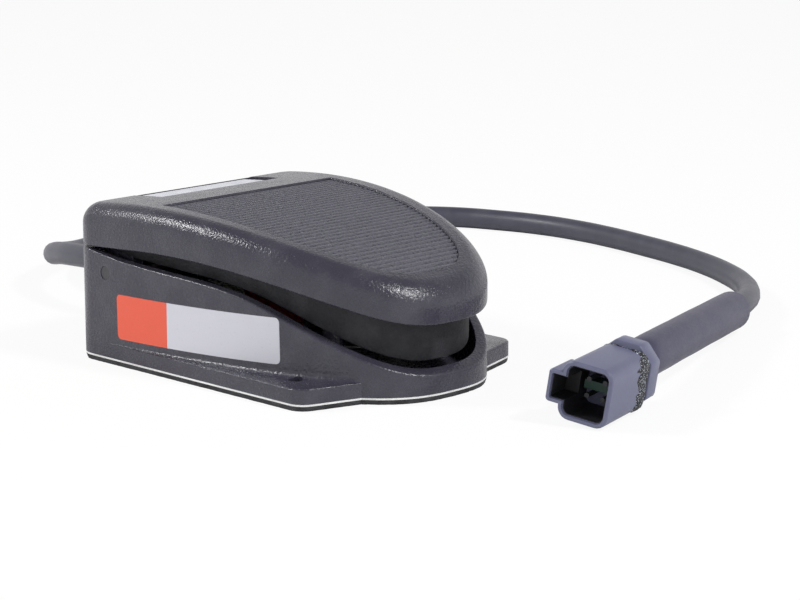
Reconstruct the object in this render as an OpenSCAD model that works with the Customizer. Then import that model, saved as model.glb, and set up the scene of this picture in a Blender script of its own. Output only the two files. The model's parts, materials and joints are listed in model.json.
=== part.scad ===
// Foot switch: a cast treadle hinged near its heel over a cast base. The treadle works a
// snap switch, a coil spring lifts it again, and the cord ends in a four-way connector.
// The toe points to -Y, the cord leaves at +Y, and the floor is at Z = 0.

/* [Base casting] */
// Length of the base from toe to heel
body_l = 131; // [124:1:140]
// Width of the base across the heel and across the ears
body_w = 99; // [94:1:106]
// Straight stretch of each side, from the heel face
side_straight_l = 15; // [12:1:20]
// Radius of the two upright heel corners
heel_corner_r = 9; // [7:0.5:12]
// Bluntness of the toe: 2 is an ellipse, more is squarer
toe_bluntness = 2.75; // [2.3:0.05:3.2]
// Thickness of the side wall
wall_t = 3.2; // [2.6:0.1:3.8]
// Thickness of the floor
floor_t = 2.5; // [2:0.1:3]
// Thickness of the foot flange and its ears
flange_t = 5; // [4:0.1:6]
// Radius of the fillet where the wall meets the flange
wall_fillet_r = 2.2; // [1.5:0.1:3]

/* [Rim of the base] */
// Height of the rim's heel seat above the underside of the casting
seat_h = 36.1; // [35:0.1:37]
// Length of the heel seat from the heel face
seat_l = 8; // [5:0.5:10]
// Distance from the heel face to the foot of the ramp below the seat
ramp_end_l = 24; // [20:1:28]
// Height of the rim where the ramp ends
rim_side_h = 33.9; // [33:0.1:35]
// Fall of the rim along the sides, in degrees
rim_side_fall = 3.7; // [3:0.1:4.5]
// Fall of the rim towards the toe, in degrees
rim_toe_fall = 24.7; // [23:0.1:26]
// Distance from the heel face to the knee between the two falls
rim_knee_l = 83.5; // [80:0.5:86]
// Radius of the bend at that knee
rim_bend_r = 151; // [120:1:170]

/* [Mounting ears] */
// Distance from the heel face to where an ear's front edge meets its side edge
ear_l = 111.1; // [108:0.1:113]
// Sweep of the ear's front edge, in degrees
ear_sweep = 15.7; // [12:0.1:20]
// Radius of the ear's tip
ear_tip_r = 6; // [4:0.5:8]
// Distance of the mounting holes from the side edges of the ears
mount_inset = 8.9; // [8:0.1:10]
// Distance of the mounting holes from the heel face
mount_l = 100; // [97:0.5:103]
// Diameter of the mounting holes
mount_d = 4.8; // [4:0.1:5.6]

/* [Pad] */
// Thickness of the non-skid pad
pad_t = 1.6; // [1.2:0.1:2.4]
// Thickness of the adhesive sheet between the pad and the casting
adhesive_t = 0.6; // [0.4:0.1:1]

/* [Treadle] */
// Height of the lip's edge at the heel above the underside of the base
lip_heel_h = 36.4; // [36.2:0.1:36.8]
// Rise of the lip's edge from the heel, in degrees
lip_rise = 3; // [2:0.1:3.5]
// Fall of the lip's edge towards the toe, in degrees
lip_toe_fall = 19; // [18:0.1:20]
// Distance from the heel face to the knee of the lip's edge
lip_knee_l = 77.5; // [75:0.5:80]
// Radius of the bend at that knee
lip_bend_r = 237; // [200:1:240]
// Height of the crest of the treadle's top above the underside of the base
crest_h = 52.6; // [51.5:0.1:54]
// Distance of the crest from the heel face
crest_l = 35; // [30:1:40]
// Radius of the crowned top
crown_r = 255; // [245:1:280]
// Radius of the rounded top edge
edge_r = 6.5; // [5:0.1:8]
// Thickness of the treadle's top
cap_t = 4.5; // [4:0.1:5]
// Distance from the lip's face in to the skirt
skirt_inset = 6; // [5.6:0.1:6.6]
// Thickness of the skirt
skirt_t = 3; // [2.4:0.1:3.4]
// Play between the rim's level and the skirt's lower edge at rest
skirt_play = 0.3; // [0.2:0.1:0.8]

/* [Tread] */
// Width of the smooth border around the ribbed tread
tread_margin = 10; // [9:0.5:12]
// Distance from the heel face to the tread's rear edge
tread_l = 35; // [33:0.5:38]
// Depth of the tread's valleys below the smooth border
tread_depth = 1.3; // [1:0.1:1.6]
// Height of the ribs
rib_h = 0.8; // [0.5:0.1:0.9]
// Pitch of the ribs
rib_pitch = 2.25; // [2:0.05:3]
// Width of a rib at its crest
rib_crest_w = 0.8; // [0.6:0.05:1]
// Width of a rib at its root
rib_root_w = 1.5; // [1.2:0.05:1.7]

/* [Name plate and side label] */
// Length of the plate pocket across the treadle
pocket_w = 52; // [48:1:56]
// Width of the plate pocket along the treadle
pocket_l = 13; // [11:0.5:14]
// Depth of the plate pocket
pocket_depth = 1.2; // [0.9:0.1:1.6]
// Distance of the pocket's centre from the heel face
pocket_from_heel = 13.5; // [13:0.5:15]
// Thickness of the name plate
plate_t = 0.6; // [0.4:0.1:0.8]
// Play around the name plate in its pocket
plate_play = 0.9; // [0.5:0.1:1.5]
// Length of the side label
label_l = 67; // [60:1:70]
// Height of the side label
label_h = 15.2; // [13:0.1:16]
// Thickness of the side label
label_t = 0.2; // [0.1:0.05:0.4]
// Distance from the heel face to the label's near edge
label_from_heel = 24.3; // [22:0.1:26]
// Clearance between the label's lower edge and the fillet below it
label_clear = 0.1; // [0.1:0.1:0.6]
// Tilt of the label, in degrees
label_tilt = 1; // [0:0.1:2]
// Radius of the label's corners
label_corner_r = 1.6; // [1:0.1:2.5]

/* [Hinge] */
// Diameter of the hinge pin
pin_d = 4.8; // [4:0.1:5.4]
// Distance of the hinge pin from the heel face
pin_l = 17; // [16:0.5:18]
// Height of the hinge pin above the underside of the base
pin_h = 28.8; // [28.3:0.1:29.5]
// Distance of each pin end below the side face
pin_recess = 0.2; // [0.1:0.1:0.6]
// Radial play of the pin in the treadle
pin_play = 0.06; // [0.03:0.01:0.1]
// Travel of the treadle, in degrees
treadle_travel = 3.5; // [3:0.1:3.5]
// Outer radius of the treadle's lugs
lug_r = 7; // [6:0.1:7.5]
// Thickness of the treadle's lugs
lug_t = 4.8; // [4:0.1:6]
// Outer radius of the bosses around the pin inside the base
pin_boss_r = 5.5; // [5:0.1:5.8]
// Gap between the base's boss and the treadle's lug
lug_gap = 0.6; // [0.4:0.1:0.8]

/* [Snap switch] */
// Length of the switch case
case_l = 27.8; // [27:0.1:28]
// Height of the switch case
case_h = 15.9; // [15:0.1:16]
// Thickness of the switch case with its cover
case_t = 10.3; // [10:0.1:11]
// Thickness of the switch cover
cover_t = 1.6; // [1.2:0.1:2]
// Distance of the plunger from the hinge pin
plunger_arm = 26; // [25:0.5:27]
// Distance of the plunger from the case's heel end
plunger_in_case = 6; // [5:0.5:8]
// Diameter of the plunger
plunger_d = 3.4; // [3:0.1:4]
// Height of the free plunger above the case
plunger_show = 1.9; // [1.8:0.1:2.2]
// Length of the plunger inside the case
plunger_grip = 2.2; // [2:0.1:3]
// Drop of the plunger's tip below the hinge axis
plunger_drop = 1; // [0.5:0.1:1.5]
// Distance of the case's two holes from its edges
case_hole_inset = 2.8; // [2.7:0.1:3]
// Diameter of the switch screws
switch_screw_d = 3; // [2.8:0.1:3.1]
// Thickness of the switch bracket
bracket_t = 1.5; // [1.2:0.1:2]
// Diameter of the bracket and clamp screws
screw_d = 4; // [3.5:0.1:4.2]

/* [Return spring] */
// Distance of the spring from the heel face
spring_l = 86; // [84:1:88]
// Diameter of the spring wire
wire_d = 1.4; // [1.2:0.1:1.6]
// Mean diameter of the spring
spring_d = 11.5; // [11:0.1:12]
// Number of curls
spring_turns = 7.5; // [5.5:0.5:8.5]
// Height of the spring's lower seat above the floor
spring_seat_h = 3.3; // [2:0.1:5]
// Height of the installed spring
spring_h = 28; // [26:0.5:29]

/* [Cord entry] */
// Diameter of the cord
cord_d = 8.6; // [8:0.1:8.6]
// Height of the cord above the underside of the base where it leaves
cord_h = 17.8; // [17.8:0.1:17.9]
// Length of the strain relief outside the base
boot_l = 24; // [20:1:26]
// Radius of the strain relief's flange
boot_flange_r = 8.5; // [8:0.1:9]
// Radius of the strain relief at its tip
boot_tip_r = 5.7; // [5.3:0.1:6]
// Radius of the strain relief's neck in the wall
boot_neck_r = 6.3; // [6:0.1:6.6]

/* [Connector] */
// Width of the connector shell
shell_w = 17; // [16.5:0.1:18]
// Height of the connector shell
shell_h = 19; // [18.5:0.1:20]
// Length of the connector shell
shell_l = 25; // [24:0.5:27]
// Radius of the shell's long edges
shell_corner_r = 4; // [3:0.1:5]
// Wall of the shell at its mouth
shell_wall = 1.6; // [1.4:0.1:1.9]
// Depth of the mouth
mouth_depth = 17; // [16:0.5:18]
// Length of the latch hood
hood_l = 14.5; // [13:0.5:16]
// Height of the latch hood
hood_h = 10.6; // [10:0.1:11]
// Reach of the latch hood beyond the shell
hood_reach = 4.5; // [4:0.1:5]
// Width of the sealant bead
bead_l = 2.6; // [2:0.1:3]
// Length of the end cap
cap_l = 9; // [8:0.5:10]
// Width of the end cap
cap_w = 18.4; // [18:0.1:19]
// Height of the end cap
cap_h = 20; // [19.6:0.1:20.6]
// Chamfer of the end cap's long edges
cap_chamfer = 5; // [4:0.1:6]
// Length of the spout behind the end cap
spout_l = 10; // [8:0.5:12]
// Radius of the spout
spout_r = 5.4; // [5:0.1:5.6]
// Height of the spout above the shell's centre
spout_rise = 3; // [2:0.1:3.5]
// Spacing of the contact pins, both ways
contact_pitch = 5.4; // [5:0.1:5.8]
// Diameter of the contact pins
contact_d = 1.6; // [1.4:0.1:2]
// Length of the contact pins in the mouth
contact_l = 9; // [8:0.5:9]
// Roll of the connector about its length, in degrees
connector_roll = 9; // [9:0.5:9.5]
// Radius of the shrink sleeve
sleeve_r = 7; // [6.8:0.1:7]

/* [Hidden] */

$fn = 48;

// Finishes
cast_black = [0.13, 0.13, 0.14];
rubber_black = [0.07, 0.07, 0.07];
sheet_white = [0.92, 0.92, 0.92];
steel = [0.68, 0.69, 0.71];
plate_silver = [0.82, 0.83, 0.85];
label_paper = [0.93, 0.93, 0.92];
case_black = [0.1, 0.1, 0.11];
cover_red = [0.5, 0.08, 0.06];
brass = [0.78, 0.62, 0.3];
nylon_natural = [0.85, 0.83, 0.76];
connector_grey = [0.2, 0.2, 0.23];
wedge_green = [0.05, 0.42, 0.3];

// Overrun of every cut, and overlap of pieces that are cast in one
over = 1;
fuse = 0.5;

// Levels
base_z = pad_t + adhesive_t;
mount_x = body_w / 2 - mount_inset;
flange_z = base_z + flange_t;
floor_z = base_z + floor_t;
pin_z = base_z + pin_h;
crest_z = base_z + crest_h;
top_z = crest_z + over;

// Places along the length, from the middle of the base
heel_y = body_l / 2;
straight_y = heel_y - side_straight_l;
toe_reach = body_l - side_straight_l;
pin_y = heel_y - pin_l;
crest_y = heel_y - crest_l;

// Fineness of the outline
toe_steps = 20;
corner_steps = 5;
bend_steps = 8;
crown_steps = 16;
edge_steps = 5;

// Outline of the base and treadle, seen from above

// A point of the toe's curve: turn runs from 0 at the side to 90 at the tip of the toe
function toe_point(turn, inset) = [
    (body_w / 2 - inset) * pow(cos(turn), 2 / toe_bluntness),
    straight_y - (toe_reach - inset) * sin(turn)
];

// Radius of a heel corner that is drawn in by the inset
function corner_r(inset) = max(heel_corner_r - inset, heel_corner_r / 6);

// A point of a heel corner: turn runs from 0 at the side to 90 at the heel face
function corner_point(turn, inset) = [
    body_w / 2 - inset - corner_r(inset) * (1 - cos(turn)),
    heel_y - inset - corner_r(inset) * (1 - sin(turn))
];

// The right half of the outline, from the tip of the toe to the heel face
function half_outline(inset) = concat(
    [for (i = [0:toe_steps]) toe_point(90 - 90 * i / toe_steps, inset)],
    [for (i = [0:corner_steps]) corner_point(90 * i / corner_steps, inset)]
);

// A right half that starts at the middle of the toe, then its mirror image back to there
function both_halves(half) = concat(half, [for (i = [len(half) - 1:-1:1]) [-half[i][0], half[i][1]]]);

function full_outline(inset) = both_halves(half_outline(inset));

module outline_prism(inset, z0, z1) {
    translate([0, 0, z0])
        linear_extrude(z1 - z0)
            polygon(full_outline(inset));
}

// Side profiles, as pairs of distance from the heel face and height above the base

// A line, an arc and a line, each tangent to the next. Falls are in degrees.
function bent_line(start_l, start_h, fall_1, knee_l, fall_2, bend_r, end_l) =
    let (
        knee_h = start_h - (knee_l - start_l) * tan(fall_1),
        tangent_l = bend_r * tan((fall_2 - fall_1) / 2),
        centre_l = knee_l - tangent_l * cos(fall_1) - bend_r * sin(fall_1),
        centre_h = knee_h + tangent_l * sin(fall_1) - bend_r * cos(fall_1),
        end_h = centre_h + bend_r * cos(fall_2) - (end_l - centre_l - bend_r * sin(fall_2)) * tan(fall_2)
    )
    concat(
        [[start_l, start_h]],
        [for (i = [0:bend_steps])
            let (a = fall_1 + (fall_2 - fall_1) * i / bend_steps)
            [centre_l + bend_r * sin(a), centre_h + bend_r * cos(a)]],
        [[end_l, end_h]]
    );

rim_line = concat(
    [[-over, seat_h], [seat_l, seat_h]],
    bent_line(ramp_end_l, rim_side_h, rim_side_fall, rim_knee_l, rim_toe_fall, rim_bend_r, body_l + over)
);
lip_line = bent_line(-over, lip_heel_h, -lip_rise, lip_knee_l, lip_toe_fall, lip_bend_r, body_l + over);

function rim_z(y) = base_z + lookup(heel_y - y, rim_line);
function lip_z(y) = base_z + lookup(heel_y - y, lip_line);

// Height of the crowned top
function crown_z(y) = crest_z - crown_r + sqrt(crown_r * crown_r - (y - crest_y) * (y - crest_y));

// Turns a profile of distances and heights into points of the side view
function side_points(profile, raise) = [for (p = profile) [heel_y - p[0], base_z + p[1] + raise]];

// Points of the crowned top lowered by a depth, from the toe to the heel
function crown_points(depth) = [
    for (i = [0:crown_steps])
        let (y = -heel_y - over + (body_l + 2 * over) * i / crown_steps)
        [y, crown_z(y) - depth]
];

// Sweeps a side view across the whole width
module across(points) {
    rotate([90, 0, 90])
        linear_extrude(body_w + 2 * over, center = true)
            polygon(points);
}

// Joins rings of points that mirror left to right, and closes both ends with strips
module loft(rings) {
    n = len(rings[0]);
    m = (n - 1) / 2;
    tops = (len(rings) - 1) * n;
    sides = [
        for (j = [0:len(rings) - 2], i = [0:n - 1])
            let (a = j * n + i, b = j * n + (i + 1) % n)
            each [[a, a + n, b + n], [a, b + n, b]]
    ];
    strips = [
        for (i = [1:m - 1])
            each [[i, i + 1, n - 1 - i], [i, n - 1 - i, n - i]]
    ];
    bottom = concat([[0, 1, n - 1]], strips);
    top = [for (f = bottom) [f[0] + tops, f[2] + tops, f[1] + tops]];
    polyhedron(points = [for (r = rings) each r], faces = concat(sides, bottom, top));
}

// Base casting

// The foot's outline is that of the base, but its ears run straight on from the sides
ear_steps = 6;

// Where an ear's front edge lies at a distance from the middle
function ear_front_y(x) = heel_y - ear_l - (body_w / 2 - x) * tan(ear_sweep);

// The right half: the toe, the ear's tip, the straight side and the heel corner
function half_foot() =
    let (
        tip_x = body_w / 2 - ear_tip_r,
        tip_y = heel_y - ear_l + ear_tip_r * (1 - sin(ear_sweep)) / cos(ear_sweep)
    )
    concat(
        [for (p = half_outline(0)) if (p[1] < ear_front_y(p[0])) p],
        [for (i = [0:ear_steps])
            let (a = (ear_sweep - 90) * (1 - i / ear_steps))
            [tip_x + ear_tip_r * cos(a), tip_y + ear_tip_r * sin(a)]],
        [for (i = [0:corner_steps]) corner_point(90 * i / corner_steps, 0)]
    );

module foot_outline() {
    polygon(both_halves(half_foot()));
}

module foot_prism(z0, thickness) {
    difference() {
        translate([0, 0, z0])
            linear_extrude(thickness)
                foot_outline();
        for (side = [-1, 1])
            translate([side * mount_x, heel_y - mount_l, z0 - over])
                cylinder(h = thickness + 2 * over, d = mount_d);
    }
}

// Concave fillet between the wall and the flange, kept within the foot's outline
module wall_fillet() {
    intersection() {
        loft([
            for (i = [0:4])
                let (a = 90 * i / 4, z = flange_z + wall_fillet_r * (1 - cos(a)))
                [for (p = full_outline(wall_fillet_r * (sin(a) - 1))) [p[0], p[1], z]]
        ]);
        translate([0, 0, flange_z - over])
            linear_extrude(wall_fillet_r + 2 * over)
                foot_outline();
    }
}

// Everything under the rim, as a side view
module under_rim() {
    across(concat([[-heel_y - over, base_z], [heel_y + over, base_z]], side_points(rim_line, 0)));
}

// Cast posts and pads that stand on the floor
module floor_post(x, from_heel, r, h) {
    translate([x, heel_y - from_heel, floor_z - fuse])
        cylinder(h = h + fuse, r = r);
}

module base_shell() {
    difference() {
        union() {
            foot_prism(base_z, flange_t);
            wall_fillet();
            intersection() {
                outline_prism(0, base_z, crest_z);
                under_rim();
            }
        }
        outline_prism(wall_t, floor_z, top_z);
        for (side = [-1, 1])
            translate([side * mount_x, heel_y - mount_l, base_z - over])
                cylinder(h = flange_t + wall_fillet_r + 2 * over, d = mount_d);
    }
}

module base_posts() {
    // Bosses around the hinge pin
    for (side = [-1, 1])
        translate([side * (lug_x + lug_gap), pin_y, pin_z])
            rotate([0, side * 90, 0])
                cylinder(h = body_w / 2 - wall_t + fuse - lug_x - lug_gap, r = pin_boss_r);
    // Cradle under the cord
    translate([-cradle_w / 2, cradle_y - cradle_l, floor_z - fuse])
        cube([cradle_w, cradle_l, cradle_z - floor_z + fuse]);
    // Pad under the switch bracket
    translate([bracket_x + bracket_t, case_mid_y - bracket_l / 2, floor_z - fuse])
        cube([bracket_foot_w - bracket_t, bracket_l, bracket_pad_h + fuse]);
    // Lower seat and pilot of the return spring
    floor_post(0, spring_l, spring_seat_r, spring_seat_h);
    floor_post(0, spring_l, pilot_r, spring_seat_h + pilot_h);
    // Travel stops
    for (side = [-1, 1])
        floor_post(side * stop_x, stop_l, stop_pad_r, stop_pad_h);
    // Ground screw post
    floor_post(ground_x, ground_l, ground_post_r, ground_post_h);
}

module base_casting() {
    color(cast_black)
        difference() {
            union() {
                base_shell();
                base_posts();
            }
            // Hinge pin
            translate([-body_w / 2 - over, pin_y, pin_z])
                rotate([0, 90, 0])
                    cylinder(h = body_w + 2 * over, r = pin_d / 2 + press_play);
            // Cord entry
            translate([0, heel_y - wall_t - over, cord_z])
                rotate([-90, 0, 0])
                    cylinder(h = wall_t + 2 * over, r = boot_neck_r + press_play);
            // Groove for the cord in the cradle
            translate([0, cradle_y + over, cord_z])
                rotate([90, 0, 0])
                    cylinder(h = cradle_l + 2 * over, r = cord_d / 2 + press_play);
            // Screw holes
            for (side = [-1, 1]) {
                translate([side * saddle_screw_x, cradle_y - cradle_l / 2, cradle_z - saddle_screw_l])
                    cylinder(h = saddle_screw_l + over, r = screw_d / 2 + press_play);
                translate([bracket_screw_x, case_mid_y + side * bracket_screw_dy, bracket_pad_z - bracket_screw_l])
                    cylinder(h = bracket_screw_l + over, r = screw_d / 2 + press_play);
            }
            translate([ground_x, heel_y - ground_l, ground_z - ground_screw_l])
                cylinder(h = ground_screw_l + over, r = screw_d / 2 + press_play);
        }
}

module adhesive_sheet() {
    color(sheet_white)
        foot_prism(pad_t, adhesive_t);
}

module nonskid_pad() {
    color(rubber_black)
        foot_prism(0, pad_t);
}

// Treadle casting

// Faces of the hinge lugs, which stand just inside the skirt's outer face
lug_skin = 0.2;
lug_x = body_w / 2 - skirt_inset - lug_skin;

// The crowned cap with its rounded top edge, down to the lip
module cap() {
    loft(concat(
        [[for (p = full_outline(0)) [p[0], p[1], lip_z(p[1])]]],
        [for (i = [0:edge_steps])
            let (a = 90 * i / edge_steps)
            [for (p = full_outline(edge_r * (1 - cos(a))))
                [p[0], p[1], crown_z(p[1]) - edge_r * (1 - sin(a))]]]
    ));
}

// The skirt that drops inside the base, open underneath
module skirt() {
    heel_end = skirt_inset + skirt_t + over;
    lower = concat([[heel_end, lookup(heel_end, rim_line)]], [for (p = rim_line) if (p[0] > heel_end) p]);
    upper = concat([[heel_end, lookup(heel_end, lip_line)]], [for (p = lip_line) if (p[0] > heel_end) p]);
    intersection() {
        outline_prism(skirt_inset, floor_z, crest_z);
        across(concat(
            side_points(lower, skirt_play),
            side_points([for (i = [len(upper) - 1:-1:0]) upper[i]], fuse)
        ));
    }
}

module cap_hollow() {
    intersection() {
        outline_prism(skirt_inset + skirt_t, floor_z, crest_z);
        across(concat([[heel_y + over, floor_z], [-heel_y - over, floor_z]], crown_points(cap_t)));
    }
}

// A round boss under the cap that ends at a height
module hanging_boss(x, from_heel, r, z) {
    y = heel_y - from_heel;
    translate([x, y, z])
        cylinder(h = crown_z(y) - cap_t + fuse - z, r = r);
}

module hinge_lug() {
    translate([lug_x - lug_t, pin_y, pin_z]) {
        rotate([0, 90, 0])
            cylinder(h = lug_t, r = lug_r);
        translate([0, -lug_r, 0])
            cube([lug_t, 2 * lug_r, crown_z(pin_y) - cap_t + fuse - pin_z]);
    }
}

// The ribbed floor of the tread and the space above it, as a side view
function tread_profile() =
    let (
        rear_y = heel_y - tread_l,
        front_y = -heel_y + tread_margin,
        count = ceil((rear_y - front_y) / rib_pitch),
        flank = (rib_root_w - rib_crest_w) / 2
    )
    concat(
        [[rear_y, top_z], [rear_y, crown_z(rear_y) - tread_depth]],
        [for (i = [0:count - 1])
            let (y = rear_y - (rib_pitch - rib_root_w) / 2 - i * rib_pitch, z = crown_z(y) - tread_depth)
            each [
                [y, z],
                [y - flank, crown_z(y - flank) - tread_depth + rib_h],
                [y - flank - rib_crest_w, crown_z(y - flank - rib_crest_w) - tread_depth + rib_h],
                [y - rib_root_w, crown_z(y - rib_root_w) - tread_depth]
            ]],
        [[rear_y - count * rib_pitch, crown_z(rear_y - count * rib_pitch) - tread_depth],
         [rear_y - count * rib_pitch, top_z]]
    );

module tread_cut() {
    intersection() {
        outline_prism(tread_margin, lip_z(-heel_y), top_z);
        across(tread_profile());
    }
}

// Places children on the crowned top at the plate pocket, tilted to lie along it
module at_pocket() {
    y = heel_y - pocket_from_heel;
    translate([0, y, crown_z(y)])
        rotate([-asin((y - crest_y) / crown_r), 0, 0])
            children();
}

module treadle_casting() {
    color(cast_black)
        difference() {
            union() {
                difference() {
                    union() {
                        cap();
                        skirt();
                    }
                    cap_hollow();
                }
                hinge_lug();
                mirror([1, 0, 0])
                    hinge_lug();
                hanging_boss(0, pin_l + plunger_arm, adjust_boss_r, adjust_boss_z);
                hanging_boss(0, spring_l, spring_seat_r, spring_top_z);
                hanging_boss(0, spring_l, pilot_r, spring_top_z - pilot_h);
                for (side = [-1, 1])
                    hanging_boss(side * stop_x, stop_l, stop_leg_r, stop_leg_z);
            }
            tread_cut();
            at_pocket()
                translate([-pocket_w / 2, -pocket_l / 2, -pocket_depth])
                    cube([pocket_w, pocket_l, pocket_depth + over]);
            translate([-body_w / 2, pin_y, pin_z])
                rotate([0, 90, 0])
                    cylinder(h = body_w, r = pin_d / 2 + pin_play);
            translate([0, pin_y - plunger_arm, adjust_boss_z - over])
                cylinder(h = adjust_grip + over, r = adjust_d / 2 + press_play);
        }
}

module name_plate() {
    color(plate_silver)
        at_pocket()
            translate([plate_play - pocket_w / 2, plate_play - pocket_l / 2, -pocket_depth])
                cube([pocket_w - 2 * plate_play, pocket_l - 2 * plate_play, plate_t]);
}

// The blank label follows the curve of the near side
module side_label() {
    color(label_paper)
        intersection() {
            difference() {
                outline_prism(-label_t, base_z, crest_z);
                outline_prism(0, base_z - over, top_z);
            }
            translate([-body_w / 2 - over, heel_y - label_from_heel, flange_z + wall_fillet_r + label_clear])
                rotate([-label_tilt, 0, 0])
                    rotate([90, 0, 90])
                        linear_extrude(body_w / 2)
                            label_face();
        }
}

module label_face() {
    for (x = [label_corner_r - label_l, -label_corner_r], z = [label_corner_r, label_h - label_corner_r])
        translate([x, z])
            circle(r = label_corner_r);
    translate([label_corner_r - label_l, 0])
        square([label_l - 2 * label_corner_r, label_h]);
    translate([-label_l, label_corner_r])
        square([label_l, label_h - 2 * label_corner_r]);
}

// Hinge pin and its press fit in the base
press_play = 0.03;

module hinge_pin() {
    color(steel)
        translate([pin_recess - body_w / 2, pin_y, pin_z])
            rotate([0, 90, 0])
                cylinder(h = body_w - 2 * pin_recess, d = pin_d);
}

// Travel stops: two legs under the treadle meet two pads on the floor
stop_x = 24;
stop_l = 100;
stop_leg_r = 3.5;
stop_pad_r = 5;
stop_pad_h = 3;
stop_gap = 0.3;
stop_leg_z = floor_z + stop_pad_h + sin(treadle_travel) * (stop_l - pin_l + stop_leg_r) + stop_gap;

// Snap switch

tip_z = pin_z - plunger_drop;
case_top_z = tip_z - plunger_show;
case_z = case_top_z - case_h;
plunger_y = pin_y - plunger_arm;
case_mid_y = plunger_y + plunger_in_case - case_l / 2;
case_play = 0.05;
plunger_travel = plunger_arm * sin(treadle_travel);

// The two holes lie on a diagonal: high at the toe end, low under the plunger
case_holes = [
    [case_mid_y - case_l / 2 + case_hole_inset, case_top_z - case_hole_inset],
    [case_mid_y + case_l / 2 - case_hole_inset, case_z + case_hole_inset]
];

module at_case_holes(x) {
    for (p = case_holes)
        translate([x, p[0], p[1]])
            rotate([0, 90, 0])
                children();
}

module switch_case() {
    color(case_black)
        difference() {
            translate([cover_t - case_t / 2, case_mid_y - case_l / 2, case_z])
                cube([case_t - cover_t, case_l, case_h]);
            at_case_holes(-case_t)
                cylinder(h = 2 * case_t, r = switch_screw_d / 2 + case_play);
            translate([0, plunger_y, case_top_z - plunger_grip - plunger_travel - stop_gap])
                cylinder(h = case_h, r = plunger_d / 2 + case_play);
        }
}

module switch_cover() {
    color(cover_red)
        difference() {
            translate([-case_t / 2, case_mid_y - case_l / 2, case_z])
                cube([cover_t, case_l, case_h]);
            at_case_holes(-case_t)
                cylinder(h = 2 * case_t, r = switch_screw_d / 2 + case_play);
        }
}

module switch_plunger() {
    color(cover_red)
        translate([0, plunger_y, case_top_z - plunger_grip])
            rotate_extrude()
                polygon([
                    [0, 0], [plunger_d / 2, 0], [plunger_d / 2, plunger_grip + plunger_show - plunger_d / 6],
                    [plunger_d / 3, plunger_grip + plunger_show], [0, plunger_grip + plunger_show]
                ]);
}

// Blades at the heel end of the case, one above the other
blade_w = 4.8;
blade_t = 0.5;
blade_l = 6.4;
blade_gap = 5;
case_end_y = case_mid_y + case_l / 2;
blade_z = [for (i = [-1:1]) case_z + case_h / 2 + i * blade_gap];

module switch_terminals() {
    color(brass)
        for (z = blade_z)
            translate([-blade_w / 2, case_end_y, z - blade_t / 2])
                cube([blade_w, blade_l, blade_t]);
}

screw_head_h = 2.2;
switch_head_r = 2.9;
nut_h = 2.4;
nut_r = 3.2;
screw_show = 0.8;

module switch_screws() {
    color(steel)
        at_case_holes(-case_t / 2) {
            cylinder(h = case_t + bracket_t + nut_h + screw_show, d = switch_screw_d);
            translate([0, 0, -screw_head_h])
                cylinder(h = screw_head_h, r = switch_head_r);
        }
}

module switch_nuts() {
    color(steel)
        at_case_holes(case_t / 2 + bracket_t)
            difference() {
                cylinder(h = nut_h, r = nut_r, $fn = 6);
                translate([0, 0, -over])
                    cylinder(h = nut_h + 2 * over, r = switch_screw_d / 2 + case_play);
            }
}

// Bracket: an upright beside the case and a foot on a cast pad
bracket_x = case_t / 2;
bracket_end_play = 0.4;
bracket_l = case_l - 2 * bracket_end_play;
bracket_foot_w = 16;
bracket_pad_h = 4;
bracket_pad_z = floor_z + bracket_pad_h;
bracket_screw_inset = 5;
bracket_screw_x = bracket_x + bracket_foot_w - bracket_screw_inset;
bracket_screw_dy = bracket_l / 2 - bracket_screw_inset;
bracket_screw_l = 5;
head_r = 3.8;

module switch_bracket() {
    color(steel)
        difference() {
            union() {
                translate([bracket_x, case_mid_y - bracket_l / 2, bracket_pad_z])
                    cube([bracket_foot_w, bracket_l, bracket_t]);
                translate([bracket_x, case_mid_y - bracket_l / 2, bracket_pad_z])
                    cube([bracket_t, bracket_l, case_top_z - bracket_pad_z]);
            }
            at_case_holes(0)
                cylinder(h = case_t, r = switch_screw_d / 2 + case_play);
            for (side = [-1, 1])
                translate([bracket_screw_x, case_mid_y + side * bracket_screw_dy, bracket_pad_z - over])
                    cylinder(h = bracket_t + 2 * over, r = screw_d / 2 + case_play);
        }
}

// A pan-head screw that stands on a face at its origin and reaches down
module pan_screw(l, r) {
    translate([0, 0, -l])
        cylinder(h = l, d = screw_d);
    rotate_extrude()
        polygon([
            [0, 0], [r, 0], [r, screw_head_h / 2], [r * 0.75, screw_head_h], [0, screw_head_h]
        ]);
}

module bracket_screws() {
    color(steel)
        for (side = [-1, 1])
            translate([bracket_screw_x, case_mid_y + side * bracket_screw_dy, bracket_pad_z + bracket_t])
                pan_screw(bracket_t + bracket_screw_l, head_r);
}

// Adjusting screw under the treadle, which presses the plunger
adjust_d = 4;
adjust_boss_r = 6;
adjust_show = 10;
adjust_boss_z = tip_z + adjust_show;
adjust_grip = 9;
adjust_gap = 0.1;
locknut_h = 3.2;
locknut_r = 4;
locknut_play = 0.05;

module adjusting_screw() {
    color(steel)
        translate([0, plunger_y, tip_z + adjust_gap])
            rotate_extrude()
                polygon([
                    [0, 0], [adjust_d / 4, 0], [adjust_d / 2, adjust_d / 4],
                    [adjust_d / 2, adjust_boss_z + adjust_grip - tip_z - adjust_gap],
                    [0, adjust_boss_z + adjust_grip - tip_z - adjust_gap]
                ]);
}

module adjusting_locknut() {
    color(steel)
        translate([0, plunger_y, adjust_boss_z - locknut_h])
            difference() {
                cylinder(h = locknut_h, r = locknut_r, $fn = 6);
                translate([0, 0, -over])
                    cylinder(h = locknut_h + 2 * over, r = adjust_d / 2 + locknut_play);
            }
}

// Return spring

spring_y = heel_y - spring_l;
spring_z = floor_z + spring_seat_h;
spring_top_z = spring_z + spring_h;
spring_seat_r = 8;
pilot_r = 4.4;
pilot_h = 5;
rings_a_curl = 8;
spring_rings = floor(spring_turns * rings_a_curl);

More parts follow.
